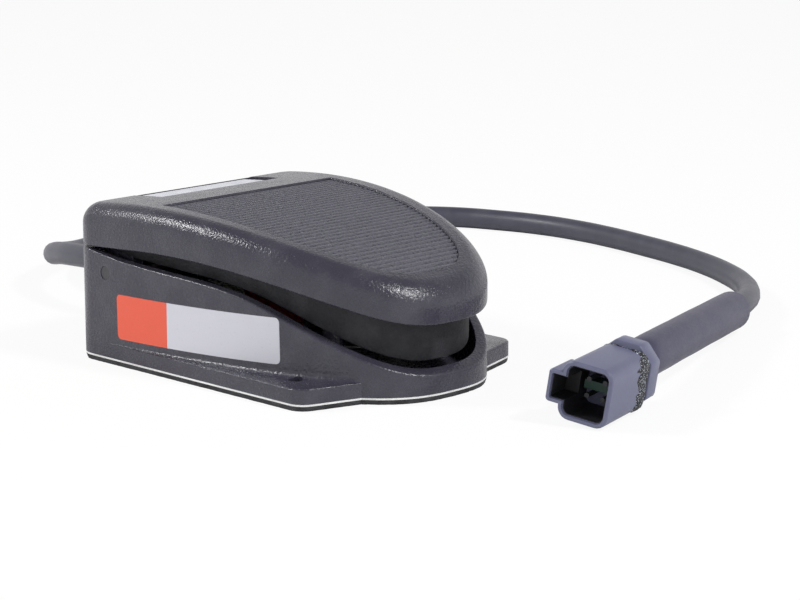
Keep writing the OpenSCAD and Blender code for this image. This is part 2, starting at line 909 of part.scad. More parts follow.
// The first and last curls lie close to the seats, and the others share the rest of the height
end_pitch = 2.1;
mid_pitch = (spring_h - wire_d - 2 * end_pitch) / (spring_turns - 2);

function spring_rise(turn) =
    turn < 1 ? end_pitch * turn :
    turn > spring_turns - 1 ? spring_h - wire_d - end_pitch * (spring_turns - turn) :
    end_pitch + mid_pitch * (turn - 1);

spring_path = [
    for (i = [0:spring_rings])
        let (turn = i / rings_a_curl)
        [
            spring_d / 2 * cos(360 * turn),
            spring_y + spring_d / 2 * sin(360 * turn),
            spring_z + wire_d / 2 + spring_rise(turn)
        ]
];

// Least gap between two stretches of the wire that are at least half a curl apart
spring_gap = min([
    for (i = [0:spring_rings], j = [i + rings_a_curl / 2:spring_rings])
        norm(spring_path[i] - spring_path[j]) - wire_d
]);
echo(least_gap_between_the_spring_curls_mm = spring_gap);

function unit(v) = v / norm(v);

// Axes of the ring at a point of a path: sideways and upwards
function ring_axes(path, i) =
    let (
        last = len(path) - 1,
        along = unit(path[min(i + 1, last)] - path[max(i - 1, 0)]),
        side = unit(cross([0, 0, 1], along))
    )
    [side, cross(along, side)];

// Points of a ring of a radius, with one corner straight down
function ring_points(path, i, r, sides) =
    let (axes = ring_axes(path, i))
    [for (k = [0:sides - 1])
        let (a = 360 * k / sides - 90)
        path[i] + r * (cos(a) * axes[0] + sin(a) * axes[1])];

// Side faces between rings, which face outwards when the rings run from the start to the end
function tube_faces(rings, sides, first) = [
    for (j = [0:rings - 2], k = [0:sides - 1])
        let (a = first + j * sides + k, b = first + j * sides + (k + 1) % sides)
        each [[a, b + sides, a + sides], [a, b, b + sides]]
];

// A solid tube along a path
module tube(path, r, sides) {
    n = len(path);
    points = [for (i = [0:n - 1]) each ring_points(path, i, r, sides)];
    start = [[for (k = [sides - 1:-1:0]) k]];
    end = [[for (k = [0:sides - 1]) (n - 1) * sides + k]];
    polyhedron(points = points, faces = concat(tube_faces(n, sides, 0), start, end));
}

module return_spring() {
    color(steel)
        tube(spring_path, wire_d / 2, 6);
}

// Cord entry, clamp and leads

cord_z = base_z + cord_h;
cradle_setback = 3.6;
cradle_drop = 2.5;
jacket_show = 2;
cradle_y = heel_y - wall_t - cradle_setback;
cradle_l = 6;
cradle_w = 27;
cradle_z = cord_z - cradle_drop;
saddle_screw_x = 9.5;
saddle_screw_l = 7;
saddle_head_r = 3;
saddle_t = 1.2;
jacket_end_y = cradle_y - cradle_l - jacket_show;

module cord_saddle() {
    color(steel)
        translate([0, cradle_y, cord_z])
            difference() {
                union() {
                    rotate([90, 0, 0])
                        cylinder(h = cradle_l, r = cord_d / 2 + case_play + saddle_t);
                    translate([-cradle_w / 2, -cradle_l, cradle_z - cord_z])
                        cube([cradle_w, cradle_l, saddle_t]);
                }
                translate([0, over, 0])
                    rotate([90, 0, 0])
                        cylinder(h = cradle_l + 2 * over, r = cord_d / 2 + case_play);
                translate([-cradle_w / 2, -cradle_l - over, cradle_z - cord_z - cord_d])
                    cube([cradle_w, cradle_l + 2 * over, cord_d]);
                for (side = [-1, 1])
                    translate([side * saddle_screw_x, -cradle_l / 2, cradle_z - cord_z - over])
                        cylinder(h = saddle_t + 2 * over, r = screw_d / 2 + case_play);
            }
}

module saddle_screws() {
    color(steel)
        for (side = [-1, 1])
            translate([side * saddle_screw_x, cradle_y - cradle_l / 2, cradle_z + saddle_t])
                pan_screw(saddle_t + saddle_screw_l, saddle_head_r);
}

module cord_inner() {
    color(rubber_black)
        translate([0, jacket_end_y, cord_z])
            rotate([-90, 0, 0])
                cylinder(h = heel_y - jacket_end_y, d = cord_d);
}

// The strain relief snaps into the heel wall: a lip inside, a neck and a flange, and a taper
boot_lip_t = 2;
boot_lip_r = 7.6;
boot_flange_t = 2.6;
boot_play = 0.1;

module strain_relief() {
    color(rubber_black)
        translate([0, heel_y, cord_z])
            rotate([-90, 0, 0])
                rotate_extrude()
                    polygon([
                        [cord_d / 2 + boot_play, -wall_t - boot_play - boot_lip_t],
                        [boot_lip_r - boot_play, -wall_t - boot_play - boot_lip_t],
                        [boot_lip_r, -wall_t - boot_play],
                        [boot_neck_r, -wall_t - boot_play],
                        [boot_neck_r, boot_play],
                        [boot_flange_r, boot_play],
                        [boot_flange_r, boot_flange_t],
                        [boot_neck_r + boot_play, boot_flange_t + boot_play],
                        [boot_tip_r, boot_l],
                        [cord_d / 2 + boot_play, boot_l]
                    ]);
}

// Leads: a curve that leaves one end and enters the other along given directions
lead_d = 1.8;
lead_steps = 9;

function curve_point(p0, p1, p2, p3, t) =
    p0 * pow(1 - t, 3) + p1 * 3 * t * pow(1 - t, 2) + p2 * 3 * pow(t, 2) * (1 - t) + p3 * pow(t, 3);

module lead(from, to, leave, enter) {
    tube(
        [for (i = [0:lead_steps]) curve_point(from, from + leave, to - enter, to, i / lead_steps)],
        lead_d / 2, 6
    );
}

lead_reach = 4;
lead_play = 0.15;
core_offset = 1.5;

// Push-on receptacles over the blades
receptacle_w = 6.6;
receptacle_h = 3.8;
receptacle_l = 12;
receptacle_y = case_end_y + screw_show;
lead_entry_y = receptacle_y + receptacle_l;

function core_at(x, z) = [x * core_offset, jacket_end_y - lead_play, cord_z + z * core_offset];
function receptacle_end(i) = [0, lead_entry_y + lead_play, blade_z[i]];

module switch_lead(x, z, i) {
    lead(core_at(x, z), receptacle_end(i), [0, -lead_reach, 0], [0, -lead_reach, 0]);
}

module lead_common() {
    color([0.06, 0.06, 0.06])
        switch_lead(1, -1, 0);
}

module lead_open() {
    color([0.8, 0.8, 0.78])
        switch_lead(-1, 1, 1);
}

module lead_closed() {
    color([0.7, 0.1, 0.08])
        switch_lead(1, 1, 2);
}

module quick_connects() {
    color(nylon_natural)
        for (z = blade_z)
            difference() {
                translate([-receptacle_w / 2, receptacle_y, z - receptacle_h / 2])
                    cube([receptacle_w, receptacle_l, receptacle_h]);
                translate([-blade_w / 2 - case_play, receptacle_y - over, z - blade_t / 2 - case_play])
                    cube([blade_w + 2 * case_play, blade_l + over, blade_t + 2 * case_play]);
            }
}

// Ground screw and ring terminal on a cast post
ground_x = -24;
ground_l = 26;
ground_post_r = 4.5;
ground_post_h = 4;
ground_z = floor_z + ground_post_h;
ground_screw_l = 5;
ring_t = 0.8;
ring_r = 4;
barrel_r = 1.6;
barrel_l = 6;
barrel_x = 3;

module ground_terminal() {
    color(brass)
        translate([ground_x, heel_y - ground_l, ground_z])
            difference() {
                union() {
                    cylinder(h = ring_t, r = ring_r);
                    translate([barrel_x, 0, barrel_r])
                        rotate([0, 90, 0])
                            cylinder(h = barrel_l, r = barrel_r);
                }
                translate([0, 0, -over])
                    cylinder(h = ring_t + 2 * over, r = screw_d / 2 + case_play);
                translate([0, 0, ring_t])
                    cylinder(h = screw_head_h + over, r = head_r + case_play);
            }
}

module ground_screw() {
    color(steel)
        translate([ground_x, heel_y - ground_l, ground_z + ring_t])
            pan_screw(ring_t + ground_screw_l, head_r - case_play);
}

module lead_ground() {
    color([0.1, 0.4, 0.12])
        lead(
            core_at(-1, -1),
            [ground_x + barrel_x + barrel_l + lead_play, heel_y - ground_l, ground_z + barrel_r],
            [0, -lead_reach, 0],
            [-2 * lead_reach, 0, 0]
        );
}

// Free cord. Its route starts at the heel face, where Y is 0, and ends at the end cap's spout.
cord_plan = [
    [0, 0, 20], [0, 20, 20], [0, 41, 20], [3, 61, 18.5], [9, 80, 16],
    [19, 98, 12], [34, 113, 8], [51, 124, 5], [70, 131.5, 4.3], [90, 134.5, 4.3],
    [111, 133.5, 4.3], [131, 129.5, 4.3], [150, 122.5, 4.3], [168, 112.5, 4.3], [184, 100.5, 4.3],
    [199, 86.5, 4.3], [212, 70.5, 4.3], [220, 51.5, 4.3], [225, 31.5, 4.3], [226, 11.5, 4.3],
    [224, -8.5, 4.3], [220, -28.5, 4.3], [215, -48.5, 4.3], [208, -68.5, 4.3], [199, -86.5, 4.3],
    [187, -103.5, 4.5], [172, -117.5, 5.2], [155, -128.5, 6.5], [136, -137, 7.5], [118, -145, 8.5],
    [99, -153, 10], [80, -160.5, 11.7], [62, -168.2, 13.2], [52, -172.5, 13.7], [43, -175, 13.7]
];
cord_sides = 12;

// The first points rise with the hole in the heel wall
hang_points = 7;
hang_z = cord_plan[0][2];
lying_z = cord_plan[hang_points + 1][2];
cord_route = [
    for (i = [0:len(cord_plan) - 1])
        let (p = cord_plan[i], lift = i < hang_points ? (p[2] - lying_z) / (hang_z - lying_z) : 0)
        [p[0], heel_y + p[1], p[2] + (cord_z - hang_z) * lift]
];
route_end = len(cord_route) - 1;
cord_length = route_length(cord_route, 0);
echo(cord_length_mm = cord_length);

function route_length(route, i) =
    i >= len(route) - 1 ? 0 : norm(route[i + 1] - route[i]) + route_length(route, i + 1);

module cord() {
    color(rubber_black)
        tube(cord_route, cord_d / 2, cord_sides);
}

// Connector, laid out along its own length from the mouth at X = 0

connector_end = cord_route[route_end];
connector_way = connector_end - cord_route[route_end - 1];
connector_yaw = atan2(-connector_way[1], -connector_way[0]);
bead_x = shell_l;
cap_x = bead_x + bead_l;
spout_x = cap_x + cap_l;

// Places children in the connector's own frame, so that the spout ends where the route does
module at_connector() {
    translate(connector_end)
        rotate([0, 0, connector_yaw])
            rotate([connector_roll, 0, 0])
                translate([-spout_x - spout_l, 0, -spout_rise])
                    children();
}

module rounded_section(w, h, r) {
    for (y = [-1, 1], z = [-1, 1])
        translate([y * (w / 2 - r), z * (h / 2 - r)])
            circle(r = r);
    square([w, h - 2 * r], center = true);
    square([w - 2 * r, h], center = true);
}

// Sweeps a section of the connector along its length
module along(x, l) {
    translate([x, 0, 0])
        rotate([90, 0, 90])
            linear_extrude(l)
                children();
}

hood_wall = 1.4;
hood_depth = 11;

module connector_shell() {
    color(connector_grey)
        at_connector()
            difference() {
                union() {
                    along(0, shell_l)
                        rounded_section(shell_w, shell_h, shell_corner_r);
                    along(0, hood_l)
                        translate([shell_w / 2 - shell_corner_r, -hood_h / 2])
                            square([hood_reach + shell_corner_r, hood_h]);
                }
                along(-over, mouth_depth + over)
                    rounded_section(shell_w - 2 * shell_wall, shell_h - 2 * shell_wall, shell_corner_r - shell_wall);
                along(-over, hood_depth + over)
                    translate([0, hood_wall - hood_h / 2])
                        square([shell_w / 2 + hood_reach - hood_wall, hood_h - 2 * hood_wall]);
                contact_holes();
            }
}

module at_contacts(x) {
    for (y = [-1, 1], z = [-1, 1])
        translate([x, y * contact_pitch / 2, z * contact_pitch / 2])
            rotate([0, 90, 0])
                children();
}

contact_root_l = 5;
contact_play = 0.05;

module contact_holes() {
    at_contacts(mouth_depth - over)
        cylinder(h = contact_root_l + over + contact_play, r = contact_d / 2 + contact_play);
}

module connector_pins() {
    color(steel)
        at_connector()
            at_contacts(mouth_depth - contact_l)
                cylinder(h = contact_l + contact_root_l, d = contact_d);
}

// The wedge that locks the contacts stands on the floor of the mouth, between the pins
wedge_l = 6;
wedge_w = 2.8;

module connector_wedge() {
    color(wedge_green)
        at_connector()
            translate([mouth_depth - wedge_l, -shell_w / 2 + 2 * shell_wall, -wedge_w / 2])
                cube([wedge_l, shell_w - 4 * shell_wall, wedge_w]);
}

bead_stand = 0.5;

module sealant_bead() {
    color(rubber_black)
        at_connector()
            along(bead_x, bead_l)
                rounded_section(shell_w + 2 * bead_stand, shell_h + 2 * bead_stand, shell_corner_r);
}

module cap_section(inset) {
    w = cap_w / 2 - inset;
    h = cap_h / 2 - inset;
    c = cap_chamfer;
    polygon([
        [w, c - h], [w, h - c], [w - c, h], [c - w, h],
        [-w, h - c], [-w, c - h], [c - w, -h], [w - c, -h]
    ]);
}

cap_taper_l = 2.5;
cap_taper = 1.4;

module connector_end_cap() {
    color(connector_grey)
        at_connector() {
            along(cap_x, cap_l - cap_taper_l)
                cap_section(0);
            along(cap_x, cap_l)
                cap_section(cap_taper);
            translate([cap_x, 0, spout_rise])
                rotate([0, 90, 0])
                    cylinder(h = cap_l + spout_l, r = spout_r);
        }
}

// Shrink sleeve over the cord and the spout, from its open end to the cap's rear face
sleeve_first = 27;
sleeve_play = 0.1;
spout_play = 0.4;
sleeve_end = connector_end + unit(connector_way) * (spout_l - sleeve_play);
sleeve_path = concat([for (i = [sleeve_first:route_end]) cord_route[i]], [sleeve_end]);

sleeve_end_t = 1.2;
sleeve_taper = 0.3;

// Radii of the sleeve: outside, tapering onto the cord, and inside, widening over the spout
function sleeve_outer(i) = i == 0 ? cord_d / 2 + sleeve_end_t : i == 1 ? sleeve_r - sleeve_taper : sleeve_r;
function sleeve_inner(i) = i < len(sleeve_path) - 3 ? cord_d / 2 + sleeve_play : spout_r + spout_play;

module shrink_sleeve() {
    n = len(sleeve_path);
    outer = [for (i = [0:n - 1]) each ring_points(sleeve_path, i, sleeve_outer(i), cord_sides)];
    inner = [for (i = [0:n - 1]) each ring_points(sleeve_path, i, sleeve_inner(i), cord_sides)];
    far = len(outer);
    last = (n - 1) * cord_sides;
    color(rubber_black)
        polyhedron(
            points = concat(outer, inner),
            faces = concat(
                tube_faces(n, cord_sides, 0),
                [for (f = tube_faces(n, cord_sides, far)) [f[0], f[2], f[1]]],
                [for (k = [0:cord_sides - 1])
                    let (m = (k + 1) % cord_sides)
                    each [[k, far + k, m], [m, far + k, far + m]]],
                [for (k = [0:cord_sides - 1])
                    let (m = (k + 1) % cord_sides)
                    each [[last + k, last + m, far + last + k], [last + m, far + last + m, far + last + k]]]
            )
        );
}

base_casting();
adhesive_sheet();
nonskid_pad();
treadle_casting();
name_plate();
side_label();
hinge_pin();
return_spring();
switch_case();
switch_cover();
switch_plunger();
switch_terminals();
switch_screws();
switch_nuts();
switch_bracket();
bracket_screws();
adjusting_screw();
adjusting_locknut();
cord_saddle();
saddle_screws();
cord_inner();
lead_common();
lead_open();
lead_closed();
lead_ground();
quick_connects();
ground_terminal();
ground_screw();
strain_relief();
cord();
shrink_sleeve();
connector_shell();
connector_wedge();
connector_pins();
sealant_bead();
connector_end_cap();
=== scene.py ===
"""Looks of the foot switch: cast base and treadle, snap switch, cord set and connector."""

import json
import logging
import math
from dataclasses import dataclass
from enum import Enum
from typing import Any, Callable, Mapping, Optional, Sequence, Union

import bmesh
import bpy
from mathutils import Matrix, Vector, noise


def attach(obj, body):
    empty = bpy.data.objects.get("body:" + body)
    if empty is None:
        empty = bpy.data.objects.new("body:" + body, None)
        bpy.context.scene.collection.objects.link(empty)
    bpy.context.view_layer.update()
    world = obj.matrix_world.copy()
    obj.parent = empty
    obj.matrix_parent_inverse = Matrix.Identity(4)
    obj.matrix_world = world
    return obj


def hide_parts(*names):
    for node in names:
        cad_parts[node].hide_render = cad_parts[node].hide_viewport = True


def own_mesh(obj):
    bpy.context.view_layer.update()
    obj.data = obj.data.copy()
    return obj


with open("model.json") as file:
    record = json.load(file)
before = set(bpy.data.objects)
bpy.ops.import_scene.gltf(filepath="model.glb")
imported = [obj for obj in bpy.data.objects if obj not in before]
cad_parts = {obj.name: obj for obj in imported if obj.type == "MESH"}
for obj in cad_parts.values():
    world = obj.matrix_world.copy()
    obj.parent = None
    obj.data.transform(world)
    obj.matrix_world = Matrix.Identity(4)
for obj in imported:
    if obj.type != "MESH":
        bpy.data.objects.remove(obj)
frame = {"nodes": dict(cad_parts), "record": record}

MM = 0.001
ROUND = 48
CHIP = 0.3
Point = Sequence[float]
Outline = list[tuple[float, float]]


class Finish(Enum):
    """The record's material slots."""

    CAST_PAINT = "cast_paint"
    WHITE_SHEET = "white_sheet"
    PAD_RUBBER = "pad_rubber"
    PLATE = "plate_aluminium"
    LABEL = "label_film"
    STEEL = "steel"
    CASE = "case_plastic"
    COVER = "cover_plastic"
    BRASS = "brass"
    CORD = "cord_jacket"
    LEAD_BLACK = "lead_black"
    LEAD_WHITE = "lead_white"
    LEAD_RED = "lead_red"
    LEAD_GREEN = "lead_green"
    NYLON = "nylon"
    BOOT = "boot_rubber"
    SLEEVE = "sleeve_plastic"
    CONNECTOR = "connector_plastic"
    WEDGE = "wedge_plastic"
    SEALANT = "sealant"


class Socket:
    """An output of a shader node, so that shader maths reads as Python expressions."""

    def __init__(self, graph: "Graph", out: bpy.types.NodeSocket) -> None:
        """Wraps one output of a node in a graph."""
        self.graph = graph
        self.out = out

    def _maths(self, operation: str, a: Any, b: Any) -> "Socket":
        """Combines two values with a Math node.

        Args:
            operation: Name of the operation.
            a: First value, a socket or a number.
            b: Second value, a socket or a number.

        Returns:
            The result's socket.
        """
        return self.graph.node("ShaderNodeMath", {"operation": operation}, {0: a, 1: b})

    def __add__(self, other: Any) -> "Socket":
        """Sum with a socket or a number."""
        return self._maths("ADD", self, other)

    def __radd__(self, other: Any) -> "Socket":
        """Sum of a number and this socket."""
        return self._maths("ADD", other, self)

    def __sub__(self, other: Any) -> "Socket":
        """Difference from a socket or a number."""
        return self._maths("SUBTRACT", self, other)

    def __rsub__(self, other: Any) -> "Socket":
        """A number less this socket."""
        return self._maths("SUBTRACT", other, self)

    def __mul__(self, other: Any) -> "Socket":
        """Product with a socket or a number."""
        return self._maths("MULTIPLY", self, other)

    def __rmul__(self, other: Any) -> "Socket":
        """Product of a number and this socket."""
        return self._maths("MULTIPLY", other, self)

    def smooth(self, low: float, high: float) -> "Socket":
        """0 below low and 1 above high, with a smooth step between."""
        ends = {"Value": self, "From Min": low, "From Max": high}
        return self.graph.node("ShaderNodeMapRange", {"interpolation_type": "SMOOTHSTEP"}, ends)

    def most(self, other: Any) -> "Socket":
        """The larger of this socket and another value."""
        return self._maths("MAXIMUM", self, other)


class Graph:
    """The node tree of a material or of the world, empty at first."""

    def __init__(self, tree: bpy.types.NodeTree) -> None:
        """Clears the tree and takes it over."""
        self.tree = tree
        tree.nodes.clear()

    def node(
        self,
        kind: str,
        settings: Optional[Mapping[str, Any]] = None,
        inputs: Optional[Mapping[Union[str, int], Any]] = None,
        out: Union[str, int] = 0,
    ) -> Socket:
        """Adds a node of any kind.

        Args:
            kind: Blender's name for the node type.
            settings: Properties of the node, set before its inputs.
            inputs: Values or sockets by the name or number of the input.
            out: Name or number of the output to return.

        Returns:
            The chosen output.
        """
        made = self.tree.nodes.new(kind)
        for name, value in (settings or {}).items():
            setattr(made, name, value)
        for key, value in (inputs or {}).items():
            if isinstance(value, Socket):
                self.tree.links.new(value.out, made.inputs[key])
            else:
                made.inputs[key].default_value = value
        if len(made.outputs) == 0:
            return Socket(self, None)
        return Socket(self, made.outputs[out])

    def place(self) -> Socket:
        """The place on the piece in metres, in the shared frame."""
        return self.node("ShaderNodeTexCoord", out="Object")

    def part(self, vector: Socket, axis: int) -> Socket:
        """One component of a vector."""
        return self.node("ShaderNodeSeparateXYZ", None, {0: vector}, axis)

    def noise(self, size: float, detail: float = 2.0) -> Socket:
        """Noise around 0.5 whose lumps have a size in millimetres."""
        values = {"Vector": self.place(), "Scale": 1 / (size * MM), "Detail": detail}
        return self.node("ShaderNodeTexNoise", None, values, "Fac")

    def blend(self, share: Any, a: Any, b: Any) -> Socket:
        """Colour a where share is 0, and b where it is 1."""
        colours = {key: v if isinstance(v, Socket) else (*v, 1) for key, v in ((6, a), (7, b))}
        return self.node("ShaderNodeMix", {"data_type": "RGBA"}, {0: share, **colours}, 2)

    def bump(self, height: Socket, depth: float) -> Socket:
        """A normal from a height between 0 and 1 that stands for a depth in millimetres."""
        return self.node("ShaderNodeBump", None, {"Distance": depth * MM, "Height": height})

    def edges(self, radius: float) -> Socket:
        """How sharply the surface bends here, 0 on a flat face.

        Args:
            radius: Reach of the softened normal in millimetres.

        Returns:
            A value that grows along the piece's edges.
        """
        soft = self.node("ShaderNodeBevel", {"samples": 4}, {"Radius": radius * MM})
        flat = self.node("ShaderNodeNewGeometry", out="Normal")
        match = self.node("ShaderNodeVectorMath", {"operation": "DOT_PRODUCT"}, {0: soft, 1: flat}, 1)
        return 1 - match

    def surface(self, values: Mapping[str, Any]) -> None:
        """Ends the graph in a Principled shader with these inputs."""
        shader = self.node("ShaderNodeBsdfPrincipled", None, values)
        self.node("ShaderNodeOutputMaterial", None, {"Surface": shader})


@dataclass(frozen=True)
class Coat:
    """A finish with a mottled colour, a varying gloss and a fine relief.

    Attributes:
        slot: The record's slot that the finish belongs to.
        colour: Main colour, linear.
        worn: Colour of its paler or dustier patches, linear.
        gloss: Roughness.
        metal: Metallic share.
        grain: Size of the fine relief in millimetres.
        relief: Depth of the fine relief in millimetres.
        patch: Size of the patches in millimetres.
        coat: Weight of a clear coat.
    """

    slot: Finish
    colour: tuple[float, float, float]
    worn: tuple[float, float, float]
    gloss: float = 0.5
    metal: float = 0.0
    grain: float = 0.4
    relief: float = 0.01
    patch: float = 6.0
    coat: float = 0.0

    def material(self) -> bpy.types.Material:
        """Builds the material.

        Returns:
            A node material named after its slot.
        """
        made = bpy.data.materials.new(self.slot.value)
        made.use_nodes = True
        graph = Graph(made.node_tree)
        patches = graph.noise(self.patch, 4.0).smooth(0.35, 0.7)
        fine = graph.noise(self.grain, 2.0)
        graph.surface(
            {
                "Base Color": graph.blend(patches, self.colour, self.worn),
                "Roughness": self.gloss + (fine - 0.5) * 0.2 + patches * 0.05,
                "Metallic": self.metal,
                "Coat Weight": self.coat,
                "Normal": graph.bump(fine, self.relief),
            }
        )
        return made


@dataclass(frozen=True)
class CastPaint:
    """Black paint over a cast surface, paler in random patches, with a painted highlight along the
    edges.

    Attributes:
        colour: Colour of the paint, linear.
        sheen_and_wear: Colour of the painted edge highlight and of the paler patches, linear.
        grain: Size of the cast texture in millimetres.
        relief: Depth of the cast texture in millimetres.
        gloss: Roughness of the paint.
        patch: Size of the worn patches in millimetres.
        patch_share: How far a patch goes towards the paler colour.
        edge_reach: Width of the painted edge highlight in millimetres.
        slot: The record's slot that the finish belongs to.
    """

    colour: tuple[float, float, float] = (0.038, 0.036, 0.053)
    sheen_and_wear: tuple[float, float, float] = (0.14, 0.14, 0.165)
    grain: float = 0.9
    relief: float = 0.22
    gloss: float = 0.24
    patch: float = 9.0
    patch_share: float = 0.12
    edge_reach: float = 0.5
    slot: Finish = Finish.CAST_PAINT

    def material(self) -> bpy.types.Material:
        """Builds the material.

        Returns:
            A node material for every casting.
        """
        made = bpy.data.materials.new(Finish.CAST_PAINT.value)
        made.use_nodes = True
        graph = Graph(made.node_tree)
        fine = graph.noise(self.grain, 3.0)
        patches = graph.noise(self.patch, 3.0).smooth(0.4, 0.7)
        # Painted highlight: edges found by the Bevel node are blended towards the pale colour, broken
        # up by noise, standing in for light caught on rounded edges.
        highlight_breakup = graph.noise(self.edge_reach * 3, 3.0).smooth(0.35, 0.6)
        painted_edge_highlight = (graph.edges(self.edge_reach) * 3).smooth(0.1, 1.0) * highlight_breakup
        paint = graph.blend(patches * self.patch_share, self.colour, self.sheen_and_wear)
        graph.surface(
            {
                "Base Color": graph.blend(painted_edge_highlight, paint, self.sheen_and_wear),
                "Roughness": self.gloss + (fine - 0.5) * 0.25 + patches * 0.05,
                "Normal": graph.bump(fine, self.relief),
            }
        )
        return made


@dataclass(frozen=True)
class TwoToneFilm:
    """The blank label: a coloured field at the heel end and a white one towards the toe.

    Attributes:
        field: Colour of the short field, linear.
        paper: Colour of the long field, linear.
        dust: Colour of the specks, linear.
        split_y: Where the two meet, in millimetres along the base.
        seam: Width of the step between them in millimetres.
        slot: The record's slot that the finish belongs to.
    """

    field: tuple[float, float, float] = (0.76, 0.1, 0.05)
    paper: tuple[float, float, float] = (0.6, 0.6, 0.66)
    dust: tuple[float, float, float] = (0.3, 0.3, 0.32)
    split_y: float = 18.8
    seam: float = 0.2
    slot: Finish = Finish.LABEL

    def material(self) -> bpy.types.Material:
        """Builds the material.

        Returns:
            A node material that changes colour along the label.
        """
        made = bpy.data.materials.new(Finish.LABEL.value)
        made.use_nodes = True
        graph = Graph(made.node_tree)
        along = graph.part(graph.place(), 1)
        ends = [(self.split_y + side * self.seam / 2) * MM for side in (-1, 1)]
        share = along.smooth(*ends)
        specks = graph.noise(0.8, 4.0)
        colour = graph.blend(share, self.paper, self.field)
        graph.surface(
            {
                "Base Color": graph.blend(specks.smooth(0.6, 0.8) * 0.25, colour, self.dust),
                "Roughness": 0.35 + specks * 0.15,
                "Normal": graph.bump(specks, 0.01),
            }
        )
        return made


@dataclass(frozen=True)
class PaintedEnds:
    """A steel pin whose ends were painted with the casting.

    Attributes:
        paint: Colour of the painted ends, linear.
        steel: Colour of the steel, linear.
        from_x: Distance from the middle in millimetres from which it is painted.
        fade: Width of the paint's edge in millimetres.
    """

    paint: tuple[float, float, float] = (0.035, 0.034, 0.04)
    steel: tuple[float, float, float] = (0.55, 0.56, 0.58)
    from_x: float = 46.0
    fade: float = 0.2

    def material(self) -> bpy.types.Material:
        """Builds the material.

        Returns:
            A node material for the hinge pin.
        """
        made = bpy.data.materials.new("pin_with_painted_ends")
        made.use_nodes = True
        graph = Graph(made.node_tree)
        across = graph.part(graph.place(), 0)
        end = across.most(across * -1).smooth((self.from_x - self.fade) * MM, self.from_x * MM)
        fine = graph.noise(0.7, 3.0)
        graph.surface(
            {
                "Base Color": graph.blend(end, self.steel, self.paint),
                "Metallic": 1 - end,
                "Roughness": 0.3 + fine * 0.15,
                "Normal": graph.bump(fine, 0.08),
            }
        )
        return made


@dataclass(frozen=True)
class Speckle:
    """Dark sealant with pale crumbs.

    Attributes:
        colour: Colour of the sealant, linear.
        crumb: Colour of the crumbs, linear.
        size: Size of a crumb in millimetres.
        slot: The record's slot that the finish belongs to.
    """

    colour: tuple[float, float, float] = (0.006, 0.006, 0.009)
    crumb: tuple[float, float, float] = (0.62, 0.66, 0.75)
    size: float = 0.4
    slot: Finish = Finish.SEALANT

    def material(self) -> bpy.types.Material:
        """Builds the material.

        Returns:
            A node material with scattered crumbs.
        """
        made = bpy.data.materials.new(self.slot.value)
        made.use_nodes = True
        graph = Graph(made.node_tree)
        crumbs = graph.noise(self.size, 1.0).smooth(0.62, 0.66)
        lumps = graph.noise(self.size * 2, 3.0)
        graph.surface(
            {
                "Base Color": graph.blend(crumbs, self.colour, self.crumb),
                "Roughness": 0.7 - lumps * 0.3,
                "Normal": graph.bump(lumps, 0.4),
            }
        )
        return made


COATS: tuple[Any, ...] = (
    CastPaint(),
    TwoToneFilm(),
    Coat(Finish.WHITE_SHEET, (0.85, 0.85, 0.85), (0.7, 0.7, 0.7), 0.6),
    Coat(Finish.PAD_RUBBER, (0.02, 0.02, 0.022), (0.05, 0.05, 0.055), 0.85, grain=0.5, relief=0.1),
    Coat(Finish.PLATE, (0.8, 0.8, 0.88), (0.7, 0.7, 0.78), 0.34, 0.7, grain=0.2, relief=0.004),
    Coat(Finish.STEEL, (0.55, 0.56, 0.58), (0.4, 0.4, 0.42), 0.35, 1.0, grain=0.3, relief=0.005),
    Coat(Finish.CASE, (0.03, 0.03, 0.034), (0.05, 0.05, 0.055), 0.45),
    Coat(Finish.COVER, (0.3, 0.03, 0.025), (0.36, 0.06, 0.05), 0.4),
    Coat(Finish.BRASS, (0.72, 0.52, 0.22), (0.55, 0.38, 0.16), 0.3, 1.0, grain=0.3, relief=0.005),
    Coat(Finish.CORD, (0.048, 0.048, 0.07), (0.06, 0.06, 0.085), 0.4, grain=0.6, relief=0.03),
    Coat(Finish.LEAD_BLACK, (0.02, 0.02, 0.02), (0.04, 0.04, 0.04), 0.45),
    Coat(Finish.LEAD_WHITE, (0.75, 0.75, 0.72), (0.6, 0.6, 0.57), 0.45),
    Coat(Finish.LEAD_RED, (0.5, 0.03, 0.02), (0.4, 0.04, 0.03), 0.45),
    Coat(Finish.LEAD_GREEN, (0.03, 0.22, 0.05), (0.04, 0.16, 0.05), 0.45),
    Coat(Finish.NYLON, (0.7, 0.67, 0.56), (0.6, 0.56, 0.45), 0.5),
    Coat(Finish.BOOT, (0.03, 0.03, 0.033), (0.05, 0.05, 0.055), 0.6, grain=0.5, relief=0.03),
    Coat(Finish.SLEEVE, (0.033, 0.031, 0.07), (0.042, 0.04, 0.082), 0.42, grain=0.8, relief=0.02),
    Coat(Finish.CONNECTOR, (0.115, 0.12, 0.195), (0.13, 0.135, 0.215), 0.34, grain=0.5, relief=0.01),
    Coat(Finish.WEDGE, (0.02, 0.28, 0.18), (0.03, 0.22, 0.15), 0.4),
    Speckle(),
)


class Special(Enum):
    """Finishes that differ from the plain one of their slot."""

    TREAD = CastPaint(colour=(0.105, 0.102, 0.128), gloss=0.42, relief=1.0, grain=0.8)
    # Painted shade: a near-black copy of the cast paint for the skirt, which sits in shadow under the
    # lip.
    SHADED_SKIRT = CastPaint(colour=(0.006, 0.006, 0.009), gloss=0.65)
    # Painted shade: a near-black copy of the connector plastic for the skin inside the mouth.
    MOUTH_SHADE = Coat(Finish.CONNECTOR, (0.006, 0.006, 0.008), (0.01, 0.01, 0.012), 0.6, grain=0.5)
    # Painted shade: darkened copies of the steel and wedge finishes for the pins and wedge deep in the
    # connector's mouth.
    SHADED_PINS = Coat(Finish.STEEL, (0.03, 0.03, 0.033), (0.05, 0.05, 0.055), 0.45, 0.6, grain=0.5)
    WEDGE = Coat(Finish.WEDGE, (0.003, 0.03, 0.02), (0.004, 0.04, 0.026), 0.5, grain=0.5)
    PIN = PaintedEnds()


